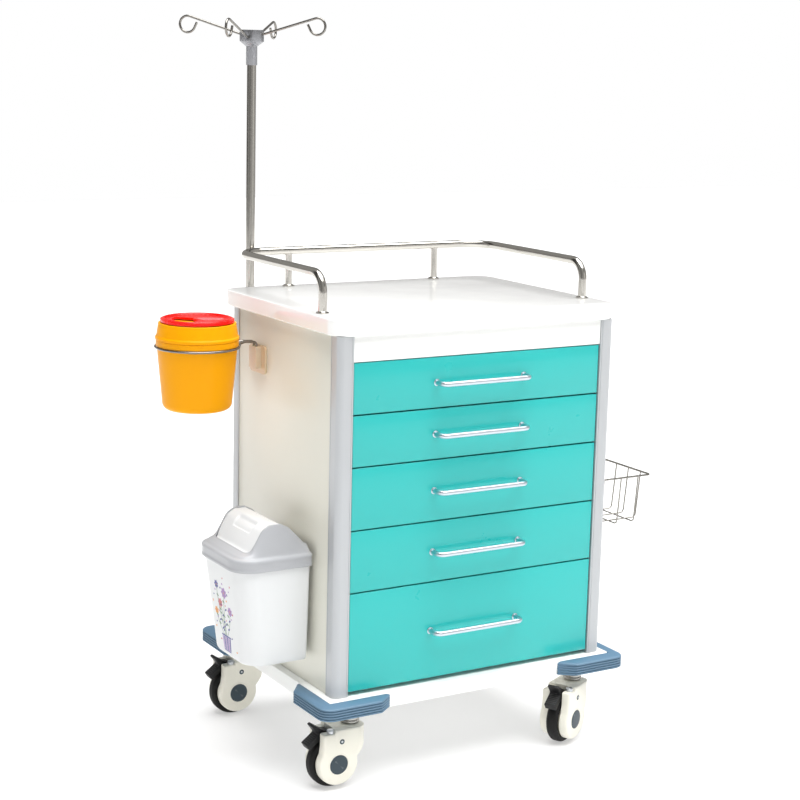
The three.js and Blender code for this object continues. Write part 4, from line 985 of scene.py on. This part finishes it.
def pedal():
    """A rocker with two wings, the lower one ribbed."""
    outline = [(-47, 104), (-48, 111), (-60, 114), (-80, 127), (-84, 124), (-72, 108), (-96, 90), (-89, 79),
               (-81, 87), (-72, 93), (-60, 98), (-50, 99)]
    side = soften(outline, [1, 2, 4, 1.5, 1, 4, 1.5, 1.5, 3, 4, 3, 1], 4)
    parts = [lying(prism(side, -12, 12, 0.9, 2, 50))]
    wing_start, wing_end = Vector((-73, 106.4)), Vector((-94.5, 90.2))
    for i in range(6):
        foot = wing_start.lerp(wing_end, (i + 0.7) / 6.6)
        rib = rounded_block((-0.8, -10.5, -0.6), (0.8, 10.5, 1.0), 0.4, 2)
        parts.append(moved(moved(rib, turn=-37, axis="Y"), foot.x, 0, foot.y))
    return together(*parts)


# ---- The print on the bin: five flowers in a striped pot, with loose petals and dots around them ----
def build_print():
    low, high = span("bin_body")
    y0 = (low.y + high.y) / 2
    width, height = high.y - low.y, high.z - low.z
    back = low.x + BIN_DEPTH
    proud, sheet = 0.25, 0.45

    def on_face(across, up, lift):
        """A point on the bin's front or its round corners, across from the middle and up from the floor."""
        half, out = bin_reach(up / height, width)
        flat_half = half - BIN_CORNER
        turn = max(abs(across) - flat_half, 0) / BIN_CORNER
        radius = BIN_CORNER + lift
        y = math.copysign(min(abs(across), flat_half) + radius * math.sin(turn), across)
        return Vector((back - out + BIN_CORNER - radius * math.cos(turn), y0 + y, low.z + up))

    def flat(outline, centre=(0, 0), turn=0.0):
        """A thin patch of ink laid on the face."""
        c, s = math.cos(turn), math.sin(turn)
        places = [(centre[0] + p.x * c - p.y * s, centre[1] + p.x * s + p.y * c) for p in outline]
        count = len(places)
        middle = (sum(p[0] for p in places) / count, sum(p[1] for p in places) / count)
        bm = bmesh.new()
        rims = []
        for lift in (proud, -sheet + proud):
            rim = [bm.verts.new(on_face(*p, lift)) for p in places]
            hub = bm.verts.new(on_face(*middle, lift))
            for a, b in zip(rim, rim[1:] + rim[:1]):
                bm.faces.new((a, b, hub))
            rims.append(rim)
        for i in range(count):
            j = (i + 1) % count
            bm.faces.new((rims[0][i], rims[0][j], rims[1][j], rims[1][i]))
        bmesh.ops.recalc_face_normals(bm, faces=bm.faces)
        return bm

    def leaf(length, breadth):
        steps = 10
        swell = [math.sin(math.pi * i / steps) ** 0.8 for i in range(steps)]
        upper = [Vector((length * i / steps, breadth / 2 * swell[i])) for i in range(steps)]
        return upper + [Vector((length * (1 - i / steps), -breadth / 2 * swell[i])) for i in range(steps)]

    def stroke(start, end, thickness, bow=0.0):
        """A thin line from start to end that bows to one side."""
        a, b = Vector(start), Vector(end)
        across = Vector((a.y - b.y, b.x - a.x)).normalized()
        half = across * thickness / 2
        steps = 12
        line = [a.lerp(b, i / steps) + across * bow * math.sin(math.pi * i / steps) for i in range(steps + 1)]
        return [flat([p - half, q - half, q + half, p + half]) for p, q in zip(line, line[1:])]

    shapes = {ink: [] for ink in INK}
    pot_foot, pot_brim = 13, 39
    for i in range(6):
        x = -15 + i * 6
        foot = x * 0.84
        stripe = [(foot - 1.6, pot_foot), (foot + 1.6, pot_foot), (x + 2.0, pot_brim), (x - 2.0, pot_brim)]
        shapes["violet" if i % 2 else "indigo"].append(flat([Vector(p) for p in stripe]))
    shapes["indigo"] += stroke((-19, 41), (19, 41), 2.6)
    shapes["indigo"] += stroke((-14, 11.5), (14, 11.5), 1.6)

    stems = [((-6, 42), (-27, 96), 4, "violet", 8.5), ((-2, 42), (-8, 128), -4, "violet", 10.5),
             ((3, 42), (12, 104), 4, "rose", 8.5), ((7, 42), (32, 84), -5, "orange", 7.0),
             ((0, 42), (22, 138), -6, "indigo", 7.5)]
    petals, leaves = 7, 4
    for start, end, bow, ink, size in stems:
        shapes["green"] += stroke(start, end, 0.9, bow)
        for i in range(petals):
            turn = 2 * math.pi * i / petals
            root = (end[0] + math.cos(turn), end[1] + math.sin(turn))
            shapes[ink].append(flat(leaf(size, size * 0.62), root, turn))
        shapes["orange" if ink != "orange" else "rose"].append(flat(circle(2.0, 16), end))
        for i in range(leaves):
            place = Vector(start).lerp(Vector(end), 0.25 + 0.17 * i)
            shapes["green" if i % 2 else "indigo"].append(flat(leaf(9, 4), place, 0.5 if i % 2 else 2.6))
    for i in range(26):
        across = -44 + (i * 37) % 89
        up = 20 + (i * 53) % 138
        if abs(across) < 16 and up < 48:
            continue  # the pot is here
        ink = ("orange", "rose", "violet", "indigo")[i % 4]
        if i % 3:
            shapes[ink].append(flat(circle(1.2 + i % 3 * 0.4, 12), (across, up)))
        else:
            shapes[ink].append(flat(leaf(6, 3), (across, up), i * 0.9))
    for ink, made in shapes.items():
        piece("bin_print_" + ink, together(*made), "white_plastic", "bin", finish=INK[ink])


# ---- Stage, light and camera ----
def build_stage():
    mesh = bpy.data.meshes.new("floor")
    bm = bmesh.new()
    bmesh.ops.create_grid(bm, x_segments=1, y_segments=1, size=12)
    bm.to_mesh(mesh)
    bm.free()
    floor = bpy.data.objects.new("floor", mesh)
    paint = bpy.data.materials.new("floor_paint")
    paint.use_nodes = True
    set_inputs(paint.node_tree, paint.node_tree.nodes["Principled BSDF"], {
        "Base Color": (0.55, 0.55, 0.55, 1), "Roughness": 0.8, "Specular IOR Level": 0.2,
        "Emission Color": (1, 1, 1, 1), "Emission Strength": 0.42})
    mesh.materials.append(paint)
    bpy.context.scene.collection.objects.link(floor)


# The studio's walls: a share of the turn around the cart, and how bright the wall is there.
ROOM = [(0.0, 0.5), (0.1, 0.45), (0.16, 0.7), (0.26, 0.95), (0.3, 0.95), (0.32, 0.1), (0.36, 0.1),
        (0.39, 0.95), (0.5, 1.0), (0.58, 0.7), (0.61, 0.1), (0.66, 0.6), (0.8, 0.8), (0.85, 0.7),
        (0.87, 0.08), (0.92, 0.08), (0.95, 0.5), (1.0, 0.5)]


def build_world():
    """White to the camera; to everything else a studio of bright walls with a few dark stands between."""
    world = bpy.data.worlds.new("studio")
    bpy.context.scene.world = world
    world.use_nodes = True
    tree = world.node_tree
    seen = tree.nodes["Background"]
    set_inputs(tree, seen, {"Color": (1, 1, 1, 1), "Strength": 1.0})
    split = tree.nodes.new("ShaderNodeSeparateXYZ")
    set_inputs(tree, split, {"Vector": add_node(tree, "TexCoord", {}, "Generated")})
    angle = tree.nodes.new("ShaderNodeMath")
    angle.operation = "ARCTAN2"
    tree.links.new(split.outputs["Y"], angle.inputs[0])
    tree.links.new(split.outputs["X"], angle.inputs[1])
    share = add_node(tree, "MapRange", {"Value": angle.outputs["Value"], "From Min": -math.pi,
                                        "From Max": math.pi}, "Result")
    ramp = tree.nodes.new("ShaderNodeValToRGB")
    elements = ramp.color_ramp.elements
    for position, value in ROOM:
        element = elements.new(position)
        element.color = (value, value * 0.985, value * 0.96, 1)
    elements.remove(elements[0])
    elements.remove(elements[-1])
    set_inputs(tree, ramp, {"Fac": share})
    room = add_node(tree, "Background", {"Color": ramp.outputs["Color"], "Strength": 0.53}, "Background")
    mix = tree.nodes.new("ShaderNodeMixShader")
    set_inputs(tree, mix, {"Fac": add_node(tree, "LightPath", {}, "Is Camera Ray")})
    tree.links.new(room, mix.inputs[1])
    tree.links.new(seen.outputs["Background"], mix.inputs[2])
    set_inputs(tree, tree.nodes["World Output"], {"Surface": mix.outputs["Shader"]})


def add_light(name, kind, place, direction, energy):
    data = bpy.data.lights.new(name, kind)
    data.energy = energy
    lamp = bpy.data.objects.new(name, data)
    lamp.location = place
    lamp.rotation_euler = direction.to_track_quat("-Z", "Y").to_euler()
    bpy.context.scene.collection.objects.link(lamp)
    return data


def build_lights():
    """A wide soft sky from above, and a square panel to the right of the front."""
    sky = add_light("sky", "SUN", (0, 0, 0), Vector((-0.1, 0.14, -1.0)), 5.3)
    sky.angle = math.radians(60)
    low, high = CAD_BOX
    from_middle = Vector((1.9, -3.0, 0.9))
    key = add_light("key", "AREA", (low + high) / 2 + from_middle, -from_middle, 7)
    key.shape = "SQUARE"
    key.size = 1.6
    key.color = (1, 0.99, 0.97)


def build_camera():
    """The cart is seen from its left front, a little above the worktop."""
    data = bpy.data.cameras.new("camera")
    data.sensor_width = 36
    data.lens = 80.45
    turn, tilt, roll = 0.541, 0.191, 0.024
    forward = Vector((math.sin(turn) * math.cos(tilt), math.cos(turn) * math.cos(tilt), -math.sin(tilt)))
    camera = bpy.data.objects.new("camera", data)
    camera.location = ORIGIN + Vector((-1818.9, -2968.6, 1344.0)) * MM
    upright = forward.to_track_quat("-Z", "Y")
    camera.rotation_mode = "QUATERNION"
    camera.rotation_quaternion = upright @ Matrix.Rotation(roll, 4, "Z").to_quaternion()
    bpy.context.scene.collection.objects.link(camera)
    bpy.context.scene.camera = camera


def paint_frame():
    """Gives the CAD nodes that still show their slot's finish."""
    slots = {s["node"]: s["material_slot"] for s in frame["record"]["subparts"]}
    for name, node in frame["nodes"].items():
        node.data.materials.clear()
        node.data.materials.append(FINISH[slots[name]])


paint_frame()
build_worktop()
build_deck()
build_posts()
build_bumpers()
build_panels()
build_handles()
build_rail()
build_pole()
build_sharps()
build_bin()
build_print()
build_basket()
build_casters()
build_stage()
build_world()
build_lights()
build_camera()
bpy.context.scene.view_settings.view_transform = "Standard"
